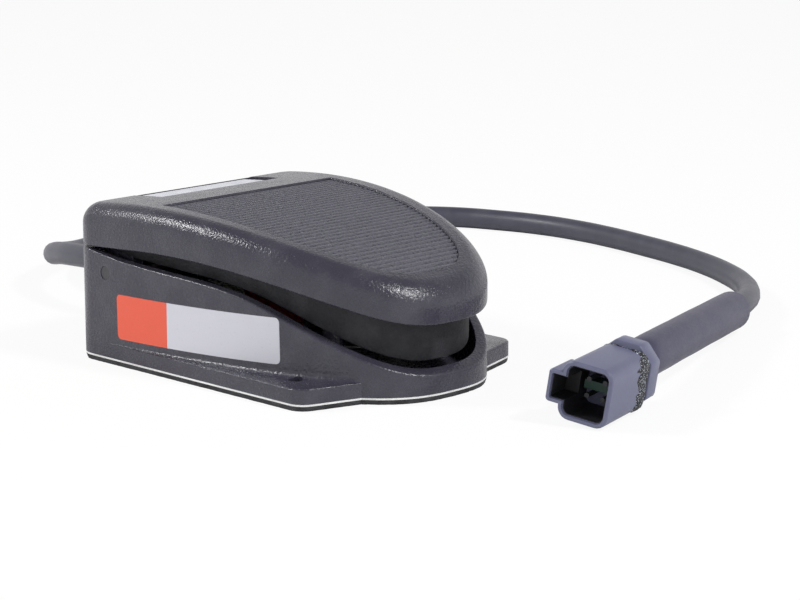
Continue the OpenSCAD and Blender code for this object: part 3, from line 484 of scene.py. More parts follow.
class Palette:
    """Every material of the scene, by slot."""

    def __init__(self, coats: Sequence[Any]) -> None:
        """Builds the material of each finish."""
        self.materials = {coat.slot: coat.material() for coat in coats}

    def dress(
        self, piece: bpy.types.Object, finish: Finish, special: Optional[Special] = None
    ) -> None:
        """Gives a whole piece one finish.

        Args:
            piece: The object.
            finish: The slot whose finish it takes.
            special: A finish of its own within that slot.
        """
        piece.data.materials.clear()
        made = special.value.material() if special else self.materials[finish]
        piece.data.materials.append(made)

    def dress_nodes(self, nodes: Mapping[str, bpy.types.Object], record: Mapping[str, Any]) -> None:
        """Gives every CAD node the finish that the record names for it.

        Args:
            nodes: The CAD nodes by name.
            record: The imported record.
        """
        for part in record["subparts"]:
            node = nodes[part["node"]]
            for slot in node.material_slots:
                slot.material = self.materials[Finish(part["material_slot"])]
        # The hinge pin has truly painted ends; the connector's pins and wedge get darkened copies of
        # their finishes as painted shade.
        own = {
            "hinge_pin": Special.PIN,
            "connector_pins": Special.SHADED_PINS,
            "connector_wedge": Special.WEDGE,
        }
        for name, special in own.items():
            for slot in nodes[name].material_slots:
                slot.material = special.value.material()


@dataclass(frozen=True)
class Bend:
    """A line, an arc and a line, each tangent to the next, seen from the side.

    Attributes:
        start_l: Distance from the heel face where the first line starts.
        start_h: Height above the casting's underside there.
        falls: Falls of the two lines in degrees.
        knee_l: Distance from the heel face to where the lines would meet.
        radius: Radius of the arc between them.
    """

    start_l: float
    start_h: float
    falls: tuple[float, float]
    knee_l: float
    radius: float

    def height(self, l: float) -> float:
        """Height above the underside.

        Args:
            l: Distance from the heel face.

        Returns:
            The height there.
        """
        first, second = (math.radians(fall) for fall in self.falls)
        knee_h = self.start_h - (self.knee_l - self.start_l) * math.tan(first)
        reach = self.radius * math.tan((second - first) / 2)
        middle = self.knee_l - reach * math.cos(first) - self.radius * math.sin(first)
        level = knee_h + reach * math.sin(first) - self.radius * math.cos(first)
        arc_end = middle + self.radius * math.sin(second)
        if l < middle + self.radius * math.sin(first):
            return self.start_h - (l - self.start_l) * math.tan(first)
        if l < arc_end:
            return level + math.sqrt(self.radius**2 - (l - middle) ** 2)
        return level + self.radius * math.cos(second) - (l - arc_end) * math.tan(second)


@dataclass(frozen=True)
class Form:
    """Outline, side profiles and places that the two castings share, in millimetres.

    Attributes:
        half_w: Half of the width.
        heel_y: Place of the heel face.
        straight_y: Where the straight sides turn into the toe's curve.
        toe_reach: Length of the toe's curve.
        blunt: Bluntness of the toe's curve.
        corner: Radius of the heel corners.
        base_z: Underside of the base casting.
        flange_z: Top of the foot flange.
        floor_z: Top of the base's floor.
        crest: Height of the treadle's crest.
        crest_y: Place of the crest.
        crown: Radius of the crowned top.
        rim_h: Height of the rim at the heel, above the underside.
        rim_flat: Length of its level stretch at the heel.
        rim_bend: How the rim falls towards the toe.
        lip_bend: How the treadle's lip falls towards the toe.
        toe_y: Where the toe's stretch of the rim starts.
        toe_fade: Length over which it comes in.
        ear_sweep: Sweep of an ear's front edge in degrees.
        ear_tip: Radius of its tip.
        ear_l: Distance from the heel face to the ear's front, at the side wall.
        hinge: Y and Z of the hinge's axis.
        spring_y: Place of the spring.
        stop: X and Y of the right stop.
        cord_z: Height of the cord where it leaves.
        steps: Points along the toe's curve.
        side_steps: Points along a straight side and along a heel corner.
    """

    half_w: float = 49.5
    heel_y: float = 65.5
    straight_y: float = 50.5
    toe_reach: float = 116
    blunt: float = 2.75
    corner: float = 9
    base_z: float = 2.2
    flange_z: float = 7.2
    floor_z: float = 4.7
    crest: float = 54.8
    crest_y: float = 30.5
    crown: float = 255
    rim_h: float = 36.1
    rim_flat: float = 8
    rim_bend: Bend = Bend(24, 33.9, (3.7, 24.7), 83.5, 151)
    lip_bend: Bend = Bend(-1, 36.4, (-3, 19), 77.5, 237)
    toe_y: float = -8
    toe_fade: float = 34
    ear_sweep: float = 15.7
    ear_tip: float = 6.0
    ear_l: float = 111.1
    hinge: tuple[float, float] = (48.5, 31)
    spring_y: float = -20.5
    stop: tuple[float, float] = (24, -34.5)
    cord_z: float = 20
    steps: int = 90
    side_steps: int = 12

    def half(self, inset: float) -> Outline:
        """The right half of the outline, from the tip of the toe to the heel.

        Args:
            inset: How far the outline is drawn in.

        Returns:
            Points of the toe's curve, the straight side and the heel corner.
        """
        points = []
        for i in range(self.steps + 1):
            turn = math.radians(90 - 90 * i / self.steps)
            across = (self.half_w - inset) * max(math.cos(turn), 0) ** (2 / self.blunt)
            points.append((across, self.straight_y - (self.toe_reach - inset) * math.sin(turn)))
        radius = max(self.corner - inset, self.corner / 6)
        end = self.heel_y - inset - radius
        side = self.half_w - inset
        count = self.side_steps
        for i in range(1, count + 1):
            points.append((side, self.straight_y + (end - self.straight_y) * i / count))
        for i in range(1, count + 1):
            turn = math.radians(90 * i / count)
            points.append((side - radius * (1 - math.cos(turn)), end + radius * math.sin(turn)))
        return points

    def ring(self, inset: float, height: Callable[[float], float]) -> list[Point]:
        """The whole outline with a height that depends on Y."""
        return both([(x, y, height(y)) for x, y in self.half(inset)])

    def rim(self, y: float) -> float:
        """Height of the base's rim.

        Args:
            y: Place along the base.

        Returns:
            The height above the floor.
        """
        l = self.heel_y - y
        bend = self.rim_bend
        if l < bend.start_l:
            share = max(l - self.rim_flat, 0) / (bend.start_l - self.rim_flat)
            return self.base_z + self.rim_h - (self.rim_h - bend.start_h) * share
        return self.base_z + bend.height(l)

    def toeward(self, y: float) -> float:
        """How much a place belongs to the toe, from 0 to 1."""
        share = min(max((self.toe_y - y) / self.toe_fade, 0), 1)
        return share * share * (3 - 2 * share)

    def lip(self, y: float) -> float:
        """Height of the treadle's lower edge."""
        return self.base_z + self.lip_bend.height(self.heel_y - y)

    def top(self, y: float) -> float:
        """Height of the treadle's crowned top."""
        return self.crest - self.crown + math.sqrt(self.crown**2 - (y - self.crest_y) ** 2)

    def foot(self) -> Outline:
        """The right half of the foot's outline, point by point beside that of the base.

        Returns:
            As many points as half(0) has, drawn out to the mounting ear.
        """
        sweep, tip_r = math.radians(self.ear_sweep), self.ear_tip
        ear_y = self.heel_y - self.ear_l
        base = self.half(0)
        front = [x for x, y in base if y < ear_y - (self.half_w - x) * math.tan(sweep)]
        first, last = len(front), self.steps
        tip = (self.half_w - tip_r, ear_y + tip_r * (1 - math.sin(sweep)) / math.cos(sweep))
        edge = [base[first - 1]]
        for i in range(self.side_steps + 1):
            turn = (sweep - math.pi / 2) * (1 - i / self.side_steps)
            edge.append((tip[0] + tip_r * math.cos(turn), tip[1] + tip_r * math.sin(turn)))
        edge.append(base[last])
        return base[: first - 1] + resampled(edge, last - first + 2) + base[last + 1 :]


def resampled(line: Outline, count: int) -> Outline:
    """Points spread evenly along a line.

    Args:
        line: The line's points.
        count: How many points to return, both ends among them.

    Returns:
        The evenly spread points.
    """
    lengths = [math.dist(a, b) for a, b in zip(line, line[1:])]
    total, made = sum(lengths), []
    for i in range(count):
        left = total * i / (count - 1)
        for (a, b), length in zip(zip(line, line[1:]), lengths):
            if left <= length or b is line[-1]:
                share = min(left / length, 1)
                made.append(tuple(p + (q - p) * share for p, q in zip(a, b)))
                break
            left -= length
    return made


def both(half: Sequence[Point]) -> list[Point]:
    """A right half and its mirror image, from the middle of the toe round to it again."""
    return list(half) + [(-p[0], *p[1:]) for p in half[:0:-1]]


class Solid:
    """A closed mesh in millimetres that can be joined, cut and moved."""

    def __init__(self, mesh: bmesh.types.BMesh) -> None:
        """Takes over a mesh."""
        self.mesh = mesh

    @classmethod
    def loft(
        cls, rings: Sequence[Sequence[Point]], mirrored: bool = False, hoop: bool = False
    ) -> "Solid":
        """Joins rings of points.

        Args:
            rings: Rings with as many points each.
            mirrored: Close the ends with strips between mirrored points.
            hoop: Join the last ring to the first, and leave out the ends.

        Returns:
            The closed solid.
        """
        mesh = bmesh.new()
        rows = [[mesh.verts.new(p) for p in ring] for ring in rings]
        count = len(rows[0])
        for low, high in zip(rows, rows[1:] + (rows[:1] if hoop else [])):
            for i in range(count):
                j = (i + 1) % count
                mesh.faces.new((low[i], low[j], high[j], high[i]))
        for row in () if hoop else (rows[0], rows[-1]):
            if not mirrored:
                mesh.faces.new(row)
                continue
            mesh.faces.new((row[0], row[1], row[-1]))
            for i in range(1, count // 2):
                mesh.faces.new((row[i], row[i + 1], row[-i - 1], row[-i]))
        bmesh.ops.remove_doubles(mesh, verts=mesh.verts, dist=1e-4)
        bmesh.ops.dissolve_degenerate(mesh, edges=mesh.edges, dist=1e-5)
        bmesh.ops.recalc_face_normals(mesh, faces=mesh.faces)
        return cls(mesh)

    @classmethod
    def post(
        cls, foot: Point, radius: float, height: float, bore: float = 0, turn: str = "Z"
    ) -> "Solid":
        """A round post or tube with a slightly broken edge.

        Args:
            foot: Middle of its lower end.
            radius: Outer radius.
            height: Length along its axis.
            bore: Radius of its bore, or 0.
            turn: Axis along which it stands.

        Returns:
            The post.
        """
        chip = min(CHIP, radius / 6)
        line = [(bore, 0), (radius - chip, 0), (radius, chip), (radius, height - chip)]
        line += [(radius - chip, height), (bore, height)]
        if not bore:
            line = line[1:-1]
        rings = [[(r * math.cos(a), r * math.sin(a), z) for a in angles(ROUND)] for r, z in line]
        made = cls.loft(rings, hoop=bool(bore))
        aim = {"X": Matrix.Rotation(math.pi / 2, 4, "Y"), "Y": Matrix.Rotation(-math.pi / 2, 4, "X")}
        return made.moved(Matrix.Translation(foot) @ aim.get(turn, Matrix.Identity(4)))

    @classmethod
    def bar(cls, face: Outline, start: float, end: float, soft: float = 0.0) -> "Solid":
        """A profile in Y and Z, drawn out along X, with its ends softened.

        Args:
            face: The profile's points.
            start: X of the first end.
            end: X of the other end.
            soft: Radius of the softened ends.

        Returns:
            The bar.
        """
        middle = (sum(p[0] for p in face) / len(face), sum(p[1] for p in face) / len(face))
        stations = [(start + soft * (1 - math.sin(a)), soft * (1 - math.cos(a))) for a in arc(5)]
        stations += [(start + end - x, inset) for x, inset in reversed(stations)]
        rings = []
        for x, inset in stations if soft else [(start, 0), (end, 0)]:
            rings.append([(x, *drawn_in(p, middle, inset)) for p in face])
        return cls.loft(rings)

    def moved(self, matrix: Matrix) -> "Solid":
        """Moves the solid and returns it."""
        self.mesh.transform(matrix)
        return self

    def __add__(self, other: "Solid") -> "Solid":
        """This solid with another that stands in or on it.

        Args:
            other: The solid to take in.

        Returns:
            This solid, with both skins.
        """
        data = bpy.data.meshes.new("joined")
        other.mesh.to_mesh(data)
        self.mesh.from_mesh(data)
        bpy.data.meshes.remove(data)
        return self

    def __sub__(self, other: "Solid") -> "Solid":
        """This solid less another."""
        return self._combined(other, "DIFFERENCE")

    def __or__(self, other: "Solid") -> "Solid":
        """Both solids merged in one skin."""
        return self._combined(other, "UNION")

    def __and__(self, other: "Solid") -> "Solid":
        """What both solids share."""
        return self._combined(other, "INTERSECT")

    def _combined(self, other: "Solid", operation: str) -> "Solid":
        """Combines two solids with a Boolean modifier.

        Args:
            other: The second solid.
            operation: Name of the modifier's operation.

        Returns:
            The new solid.
        """
        pair = []
        for solid in (self, other):
            data = bpy.data.meshes.new("work")
            solid.mesh.to_mesh(data)
            pair.append(bpy.data.objects.new("work", data))
            bpy.context.scene.collection.objects.link(pair[-1])
        modifier = pair[0].modifiers.new("combine", "BOOLEAN")
        modifier.operation = operation
        modifier.solver = "EXACT"
        modifier.object = pair[1]
        view = bpy.context.evaluated_depsgraph_get()
        made = bmesh.new()
        made.from_mesh(pair[0].evaluated_get(view).to_mesh())
        for work in pair:
            bpy.data.meshes.remove(work.data)
        return Solid(made)

    def piece(
        self, name: str, body: str, nodes: Sequence[str] = (), crease: float = 34
    ) -> bpy.types.Object:
        """Turns the solid into a piece of the scene.

        Args:
            name: Name of the piece.
            body: CAD body that it rides on.
            nodes: CAD nodes that it replaces.
            crease: Angle in degrees from which an edge stays sharp.

        Returns:
            The new object.
        """
        self.mesh.transform(Matrix.Scale(MM, 4))
        data = bpy.data.meshes.new(name)
        self.mesh.to_mesh(data)
        data.shade_smooth()
        data.set_sharp_from_angle(angle=math.radians(crease))
        made = bpy.data.objects.new(name, data)
        bpy.context.scene.collection.objects.link(made)
        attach(made, body)
        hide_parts(*nodes)
        logging.info("%s: %d faces", name, len(data.polygons))
        return made


def angles(count: int) -> list[float]:
    """Angles spread round a circle."""
    return [2 * math.pi * i / count for i in range(count)]


def arc(count: int) -> list[float]:
    """Angles from 0 to a quarter turn, as many steps apart."""
    return [math.pi / 2 * i / count for i in range(count + 1)]


def drawn_in(point: Point, middle: Point, inset: float) -> tuple[float, float]:
    """A point of a profile drawn in on both axes towards its middle."""
    return tuple(p - math.copysign(min(inset, abs(p - m)), p - m) for p, m in zip(point, middle))


def rounded(w: float, h: float, r: float, steps: int = 6) -> Outline:
    """A rectangle with rounded corners about 0, 0.

    Args:
        w: Full width.
        h: Full height.
        r: Radius of its corners.
        steps: Points per corner.

    Returns:
        The outline's points.
    """
    points = []
    for k, (sx, sy) in enumerate(((1, 1), (-1, 1), (-1, -1), (1, -1))):
        for i in range(steps + 1):
            a = math.pi / 2 * (k + i / steps)
            points.append((sx * (w / 2 - r) + r * math.cos(a), sy * (h / 2 - r) + r * math.sin(a)))
    return points


def smooth_line(points: Sequence[Point], steps: int) -> list[Vector]:
    """A smooth line through points.

    Args:
        points: The points to pass through.
        steps: Stretches between two of them.

    Returns:
        Points of the line.
    """
    p = [Vector(q) for q in points]
    p = [2 * p[0] - p[1], *p, 2 * p[-1] - p[-2]]
    line = []
    for a, b, c, d in zip(p, p[1:], p[2:], p[3:]):
        for i in range(steps):
            t = i / steps
            square = (2 * a - 5 * b + 4 * c - d) * t * t
            cube = (3 * b - a - 3 * c + d) * t * t * t
            line.append(0.5 * (2 * b + (c - a) * t + square + cube))
    return line + [p[-2]]


def tube(line: Sequence[Vector], radius: Callable[[float, float], float], sides: int = 32) -> Solid:
    """A round tube along a line.

    Args:
        line: Its centreline.
        radius: Radius from the share of its length and the angle round it.
        sides: Points round it.

    Returns:
        The solid tube.
    """
    rings = []
    for i, point in enumerate(line):
        along = (line[min(i + 1, len(line) - 1)] - line[max(i - 1, 0)]).normalized()
        side = Vector((0, 0, 1)).cross(along).normalized()
        up = along.cross(side)
        share = i / (len(line) - 1)
        ring = []
        for a in angles(sides):
            ring.append(point + radius(share, a) * (math.cos(a) * side + math.sin(a) * up))
        rings.append(ring)
    return Solid.loft(rings)


@dataclass
class Studio:
    """Camera, lights, floor and surroundings.

    Attributes:
        eye: Place of the camera in millimetres.
        turn: Azimuth of the camera in degrees.
        tilt: Elevation of the camera in degrees.
        lens: Focal length in millimetres.
        horizon: Brightness of the surroundings on the object, low down.
        zenith: Brightness of the surroundings on the object, overhead.
        aim: Place that the lamps face, in metres.
        seen_white: How much of the floor's white the camera sees beside its shadow.
    """

    eye: tuple[float, float, float] = (-593.3, -623.5, 208.6)
    turn: float = -45.52
    tilt: float = 12.27
    lens: float = 118.2
    horizon: float = 1.0
    zenith: float = 0.25
    aim: tuple[float, float, float] = (0, 0, 0.03)
    seen_white: float = 0.9

    def camera(self) -> None:
        """Makes the photo's camera."""
        data = bpy.data.cameras.new("camera")
        data.lens = self.lens
        data.sensor_width = 36
        data.clip_start = 0.01
        data.clip_end = 50
        camera = bpy.data.objects.new("camera", data)
        turn, tilt = math.radians(self.turn), math.radians(self.tilt)
        level = Vector((math.sin(turn), -math.cos(turn), 0))
        back = level * math.cos(tilt) + Vector((0, 0, math.sin(tilt)))
        right = Vector((math.cos(turn), math.sin(turn), 0))
        up = back.cross(right)
        matrix = Matrix((right, up, back)).transposed().to_4x4()
        matrix.translation = Vector(self.eye) * MM
        camera.matrix_world = matrix
        bpy.context.scene.collection.objects.link(camera)
        bpy.context.scene.camera = camera

    def light(self, name: str, place: Point, size: float, power: float) -> None:
        """Adds a soft square light that faces the switch.

        Args:
            name: Name of the light.
            place: Where it hangs, in metres.
            size: Length of its side in metres.
            power: Its power in watts.
        """
        data = bpy.data.lights.new(name, "AREA")
        data.size = size
        data.energy = power
        lamp = bpy.data.objects.new(name, data)
        lamp.location = place
        aim = Vector(self.aim) - Vector(place)
        lamp.rotation_euler = aim.to_track_quat("-Z", "Y").to_euler()
        bpy.context.scene.collection.objects.link(lamp)

    def floor(self) -> None:
        """Lays a white floor under the switch."""
        mesh = bmesh.new()
        bmesh.ops.create_grid(mesh, x_segments=8, y_segments=8, size=6)
        data = bpy.data.meshes.new("floor")
        mesh.to_mesh(data)
        mesh.free()
        floor = bpy.data.objects.new("floor", data)
        floor.location = (0, 0, -0.0001)
        bpy.context.scene.collection.objects.link(floor)
        made = bpy.data.materials.new("floor_white")
        made.use_nodes = True
        graph = Graph(made.node_tree)
        tint = graph.blend(graph.noise(300.0) * 0.1, (0.9, 0.9, 0.9), (0.86, 0.86, 0.86))
        matt = graph.node("ShaderNodeBsdfDiffuse", None, {"Color": tint})
        white = graph.node("ShaderNodeEmission", None, {"Color": (1, 1, 1, 1), "Strength": 1.0})
        seen = graph.node("ShaderNodeLightPath", out="Is Camera Ray")
        mixed = graph.node("ShaderNodeMixShader", None, {0: seen * self.seen_white, 1: matt, 2: white})
        graph.node("ShaderNodeOutputMaterial", None, {"Surface": mixed})
        data.materials.append(made)

    def surroundings(self) -> None:
        """White for the camera, and on the object bright low down and dim overhead."""
        world = bpy.data.worlds.new("surroundings")
        world.use_nodes = True
        bpy.context.scene.world = world
        graph = Graph(world.node_tree)
        seen = graph.node("ShaderNodeLightPath", out="Is Camera Ray")
        way = graph.node("ShaderNodeTexCoord", out="Generated")
        high = graph.part(way, 2).smooth(0.1, 0.8)
        near = self.horizon + high * (self.zenith - self.horizon)
        strength = seen + (1 - seen) * near
        values = {"Color": (1, 1, 1, 1), "Strength": strength}
        shade = graph.node("ShaderNodeBackground", None, values)
        graph.node("ShaderNodeOutputWorld", None, {"Surface": shade})

    def build(self) -> None:
        """Makes the whole studio."""
        self.camera()
        self.surroundings()
        self.floor()
        self.light("toe_lamp", (0.2, -0.85, 0.95), 0.16, 9)
        self.light("heel_lamp", (-0.6, 0.65, 0.8), 0.18, 6.5)
        bpy.context.scene.view_settings.view_transform = "Standard"


@dataclass
class Base:
    """Base casting with its foot flange, rim ledge, posts, pad and label.

    Attributes:
        form: Outline shared with the treadle.
        palette: Materials of the scene.
        wall: Thickness of the wall.
        ledge_w: Width of the ledge along the rim.
        ledge_t: Thickness of that ledge.
        fillet: Radius between the wall and an ear.
        edge: Radius of the rim's and the foot's outer edge.
        inner_edge: Radius of the ledge's inner edge.
        toe_fall: How far the rim falls away around the toe.
        hole: Place of the right mounting hole.
        hole_r: Radius of the mounting holes.
        entry_r: Radius of the cord's entry.
        pin_r: Radius of the hinge pin's bore.
        boss: Distance from the middle, radius and height of a hinge boss.
        seat: Radius and height of the spring's seat.
        guide: Radius and height of the post inside the spring.
        stop_post: Radius and height of a stop post.
        ground: X and Y of the ground screw's post.
        ground_post: Radius and height of that post.
        block_x: Ends of the switch's block across.
        block_y: Ends of the block along.
        block_top: Height of the block.
        cradle_y: Front of the cord's cradle.
        cradle_half: Half of the cradle's width.
        cradle_t: Thickness of the cradle.
        cradle_top: Height of the cradle.
        groove_r: Radius of the cradle's groove.
        film: Length, height and corner radius of the label.
        film_at: Y of its heel end and height of its lower edge there.
    """

    form: Form
    palette: Palette
    wall: float = 3.2
    ledge_w: float = 3.8
    ledge_t: float = 2.4
    fillet: float = 2.2
    edge: float = 0.7
    inner_edge: float = 0.5
    toe_fall: float = 2.2
    hole: tuple[float, float] = (40.6, -34.5)
    hole_r: float = 2.4
    entry_r: float = 6.33
    pin_r: float = 2.43
    boss: tuple[float, float, float] = (45.35, 5.5, 2.9)
    seat: tuple[float, float] = (8, 3.8)
    guide: tuple[float, float] = (4.4, 8.8)
    stop_post: tuple[float, float] = (5, 3.5)
    ground: tuple[float, float] = (-24, 39.5)
    ground_post: tuple[float, float] = (4.5, 4.5)
    block_x: tuple[float, float] = (6.65, 21.15)
    block_y: tuple[float, float] = (1.1, 28.1)
    block_top: float = 8.7
    cradle_y: float = 52.7
    cradle_half: float = 13.5
    cradle_t: float = 6
    cradle_top: float = 17.5
    groove_r: float = 4.33
    film: tuple[float, float, float] = (69.2, 15.2, 1.6)
    film_at: tuple[float, float] = (42.5, 9.5)

    def foot_ring(self, z: float, inset: Callable[[int], float] = lambda i: 0.0) -> list[Point]:
        """Outline of the foot at a height, drawn in by an amount per point.

        Args:
            z: The height.
            inset: Amount by the number of the point.

        Returns:
            The closed ring.
        """
        ring = []
        for i, (q, p) in enumerate(zip(self.form.foot(), self.form.half(0))):
            reach = math.dist(p, q)
            share = min(inset(i) / reach, 0.5) if reach > 0.01 else 0
            ring.append((q[0] + (p[0] - q[0]) * share, q[1] + (p[1] - q[1]) * share, z))
        return both(ring)

    def fillet_ring(self, turn: float) -> list[Point]:
        """One ring of the concave fillet between an ear and the wall.

        Args:
            turn: Angle along the fillet, 0 on the ear and a quarter turn on the wall.

        Returns:
            The closed ring.
        """
        wide, plain, ring = self.form.half(-1), self.form.half(0), []
        for i, (p, w) in enumerate(zip(plain, wide)):
            room = math.dist(p, self.form.foot()[i]) * 0.6
            r = min(self.fillet, room)
            out = r * (1 - math.sin(turn))
            z = self.form.flange_z + r * (1 - math.cos(turn))
            ring.append((p[0] + (w[0] - p[0]) * out, p[1] + (w[1] - p[1]) * out, z))
        return both(ring)

    def rim_edge(self, y: float) -> float:
        """Height of the rim, which falls away around the toe."""
        return self.form.rim(y) - self.toe_fall * self.form.toeward(y)

    def rim_ring(self, inset: float, drop: float) -> list[Point]:
        """Outline drawn in by an inset, at a drop below the rim."""
        return self.form.ring(inset, lambda y: self.rim_edge(y) - drop)

    def shell(self) -> Solid:
        """The wall, floor, ledge and foot in one skin.

        Returns:
            The closed skin, still without holes.
        """
        form, edge, inner = self.form, self.edge, self.inner_edge
        rings = [self.foot_ring(form.base_z), self.foot_ring(form.flange_z - edge)]
        for a in arc(4)[1:]:
            inset = edge * (1 - math.cos(a))
            rings.append(self.foot_ring(form.flange_z - edge * (1 - math.sin(a)), lambda i: inset))
        rings += [self.fillet_ring(a) for a in arc(6)]
        for a in arc(5):
            rings.append(self.rim_ring(edge * (1 - math.cos(a)), edge * (1 - math.sin(a))))
        for a in arc(3):
            inset = self.ledge_w - inner * (1 - math.sin(a))
            rings.append(self.rim_ring(inset, inner * (1 - math.cos(a))))
        rings.append(self.rim_ring(self.ledge_w, self.ledge_t))
        rings.append(self.rim_ring(self.wall, self.ledge_t + 0.4))
        rings.append(form.ring(self.wall, lambda y: form.floor_z + 1))
        rings.append(form.ring(self.wall + 1, lambda y: form.floor_z))
        return Solid.loft(rings, mirrored=True)

    def cradle(self, low: float) -> Solid:
        """The block at the heel with a round groove that the cord lies in.

        Args:
            low: Height where the block starts.

        Returns:
            The block.
        """
        r, half, top = self.groove_r, self.cradle_half, self.cradle_top
        turns = [math.radians(d) for d in range(54, -55, -9)]
        groove = [(r * math.sin(a), self.form.cord_z - r * math.cos(a)) for a in turns]
        face = [(-half, low), (half, low), (half, top), *groove, (-half, top)]
        swap = Matrix(((0, 1, 0, 0), (1, 0, 0, 0), (0, 0, 1, 0), (0, 0, 0, 1)))
        place = Matrix.Translation((0, self.cradle_y, 0)) @ swap
        return Solid.bar(face, 0, self.cradle_t).moved(place)

    def posts(self) -> Solid:
        """Everything that stands on the floor or on the walls inside.

        Returns:
            The posts, joined.
        """
        form = self.form
        low = form.floor_z - 0.5
        middle = (0, form.spring_y, low)
        made = Solid.post(middle, *self.seat) + Solid.post(middle, *self.guide)
        boss_x, boss_r, boss_h = self.boss
        for side in (-1, 1):
            made += Solid.post((side * form.stop[0], form.stop[1], low), *self.stop_post)
            foot = (side * boss_x - boss_h / 2, *form.hinge)
            made += Solid.post(foot, boss_r, boss_h, self.pin_r, "X")
        made += Solid.post((*self.ground, low), *self.ground_post)
        front, back = self.block_y
        face = [(front, low), (back, low), (back, self.block_top), (front, self.block_top)]
        made += Solid.bar(face, *self.block_x, 0.3)
        return made + self.cradle(low)

    def casting(self) -> None:
        """Builds the base casting."""
        made = self.shell()
        for side in (-1, 1):
            made = made - Solid.post((side * self.hole[0], self.hole[1], -1), self.hole_r, 12)
        made = made - Solid.post((-52, *self.form.hinge), self.pin_r, 104, turn="X")
        made = made - Solid.post((0, 60, self.form.cord_z), self.entry_r, 8, turn="Y")
        made = made + self.posts()
        self.palette.dress(made.piece("cast_base", "base", ["base_casting"]), Finish.CAST_PAINT)

    def pad(self) -> None:
        """Builds the white sheet and the ragged pad under the base."""
        sheet = Solid.loft([self.foot_ring(1.6), self.foot_ring(2.2)], mirrored=True)
        outline = self.foot_ring(0)
        rings = []
        for z, less in ((0.0, 0.35), (0.5, 0.1), (1.2, 0.0), (1.6, 0.15)):
            ring = []
            for x, y, _ in outline:
                coarse = abs(noise.noise(Vector((x, y, z * 2)) * 0.55))
                fine = abs(noise.noise(Vector((x, y, z)) * 1.9))
                cut = less + 0.45 * coarse + 0.2 * fine
                away = Vector((x, y, 0)).normalized() * cut
                ring.append((x - away.x, y - away.y, z))
            rings.append(ring)
        soft = Solid.loft(rings)
        for side in (-1, 1):
            bore = (side * self.hole[0], self.hole[1], -1)
            sheet = sheet - Solid.post(bore, self.hole_r, 6)
            soft = soft - Solid.post(bore, self.hole_r, 6)
        layer = sheet.piece("adhesive_layer", "base", ["adhesive_sheet"])
        self.palette.dress(layer, Finish.WHITE_SHEET)
        self.palette.dress(soft.piece("ragged_pad", "base", ["nonskid_pad"]), Finish.PAD_RUBBER)

    def band(self, proud: float, low: float, high: float) -> Solid:
        """The outline as a block between two heights, grown by an amount."""
        rings = [self.form.ring(-proud, lambda y: z) for z in (low, high)]
        return Solid.loft(rings, mirrored=True)

    def label(self) -> None:
        """Builds the blank label, which follows the near side."""
        skin, core = self.band(0.085, 5.0, 32.0), self.band(0.01, 4.0, 33.0)
        length, height, corner = self.film
        outline = rounded(length, height, corner)
        face = [(y - length / 2, z + height / 2) for y, z in outline]
        place = Matrix.Translation((0, *self.film_at)) @ Matrix.Rotation(math.radians(-1), 4, "X")
        block = Solid.bar(face, -54, -30).moved(place)
        film = (skin & block) - core
        self.palette.dress(film.piece("side_film", "base", ["side_label"]), Finish.LABEL)

    def build(self) -> None:
        """Builds every piece of the base."""
        self.casting()
        self.pad()
        self.label()


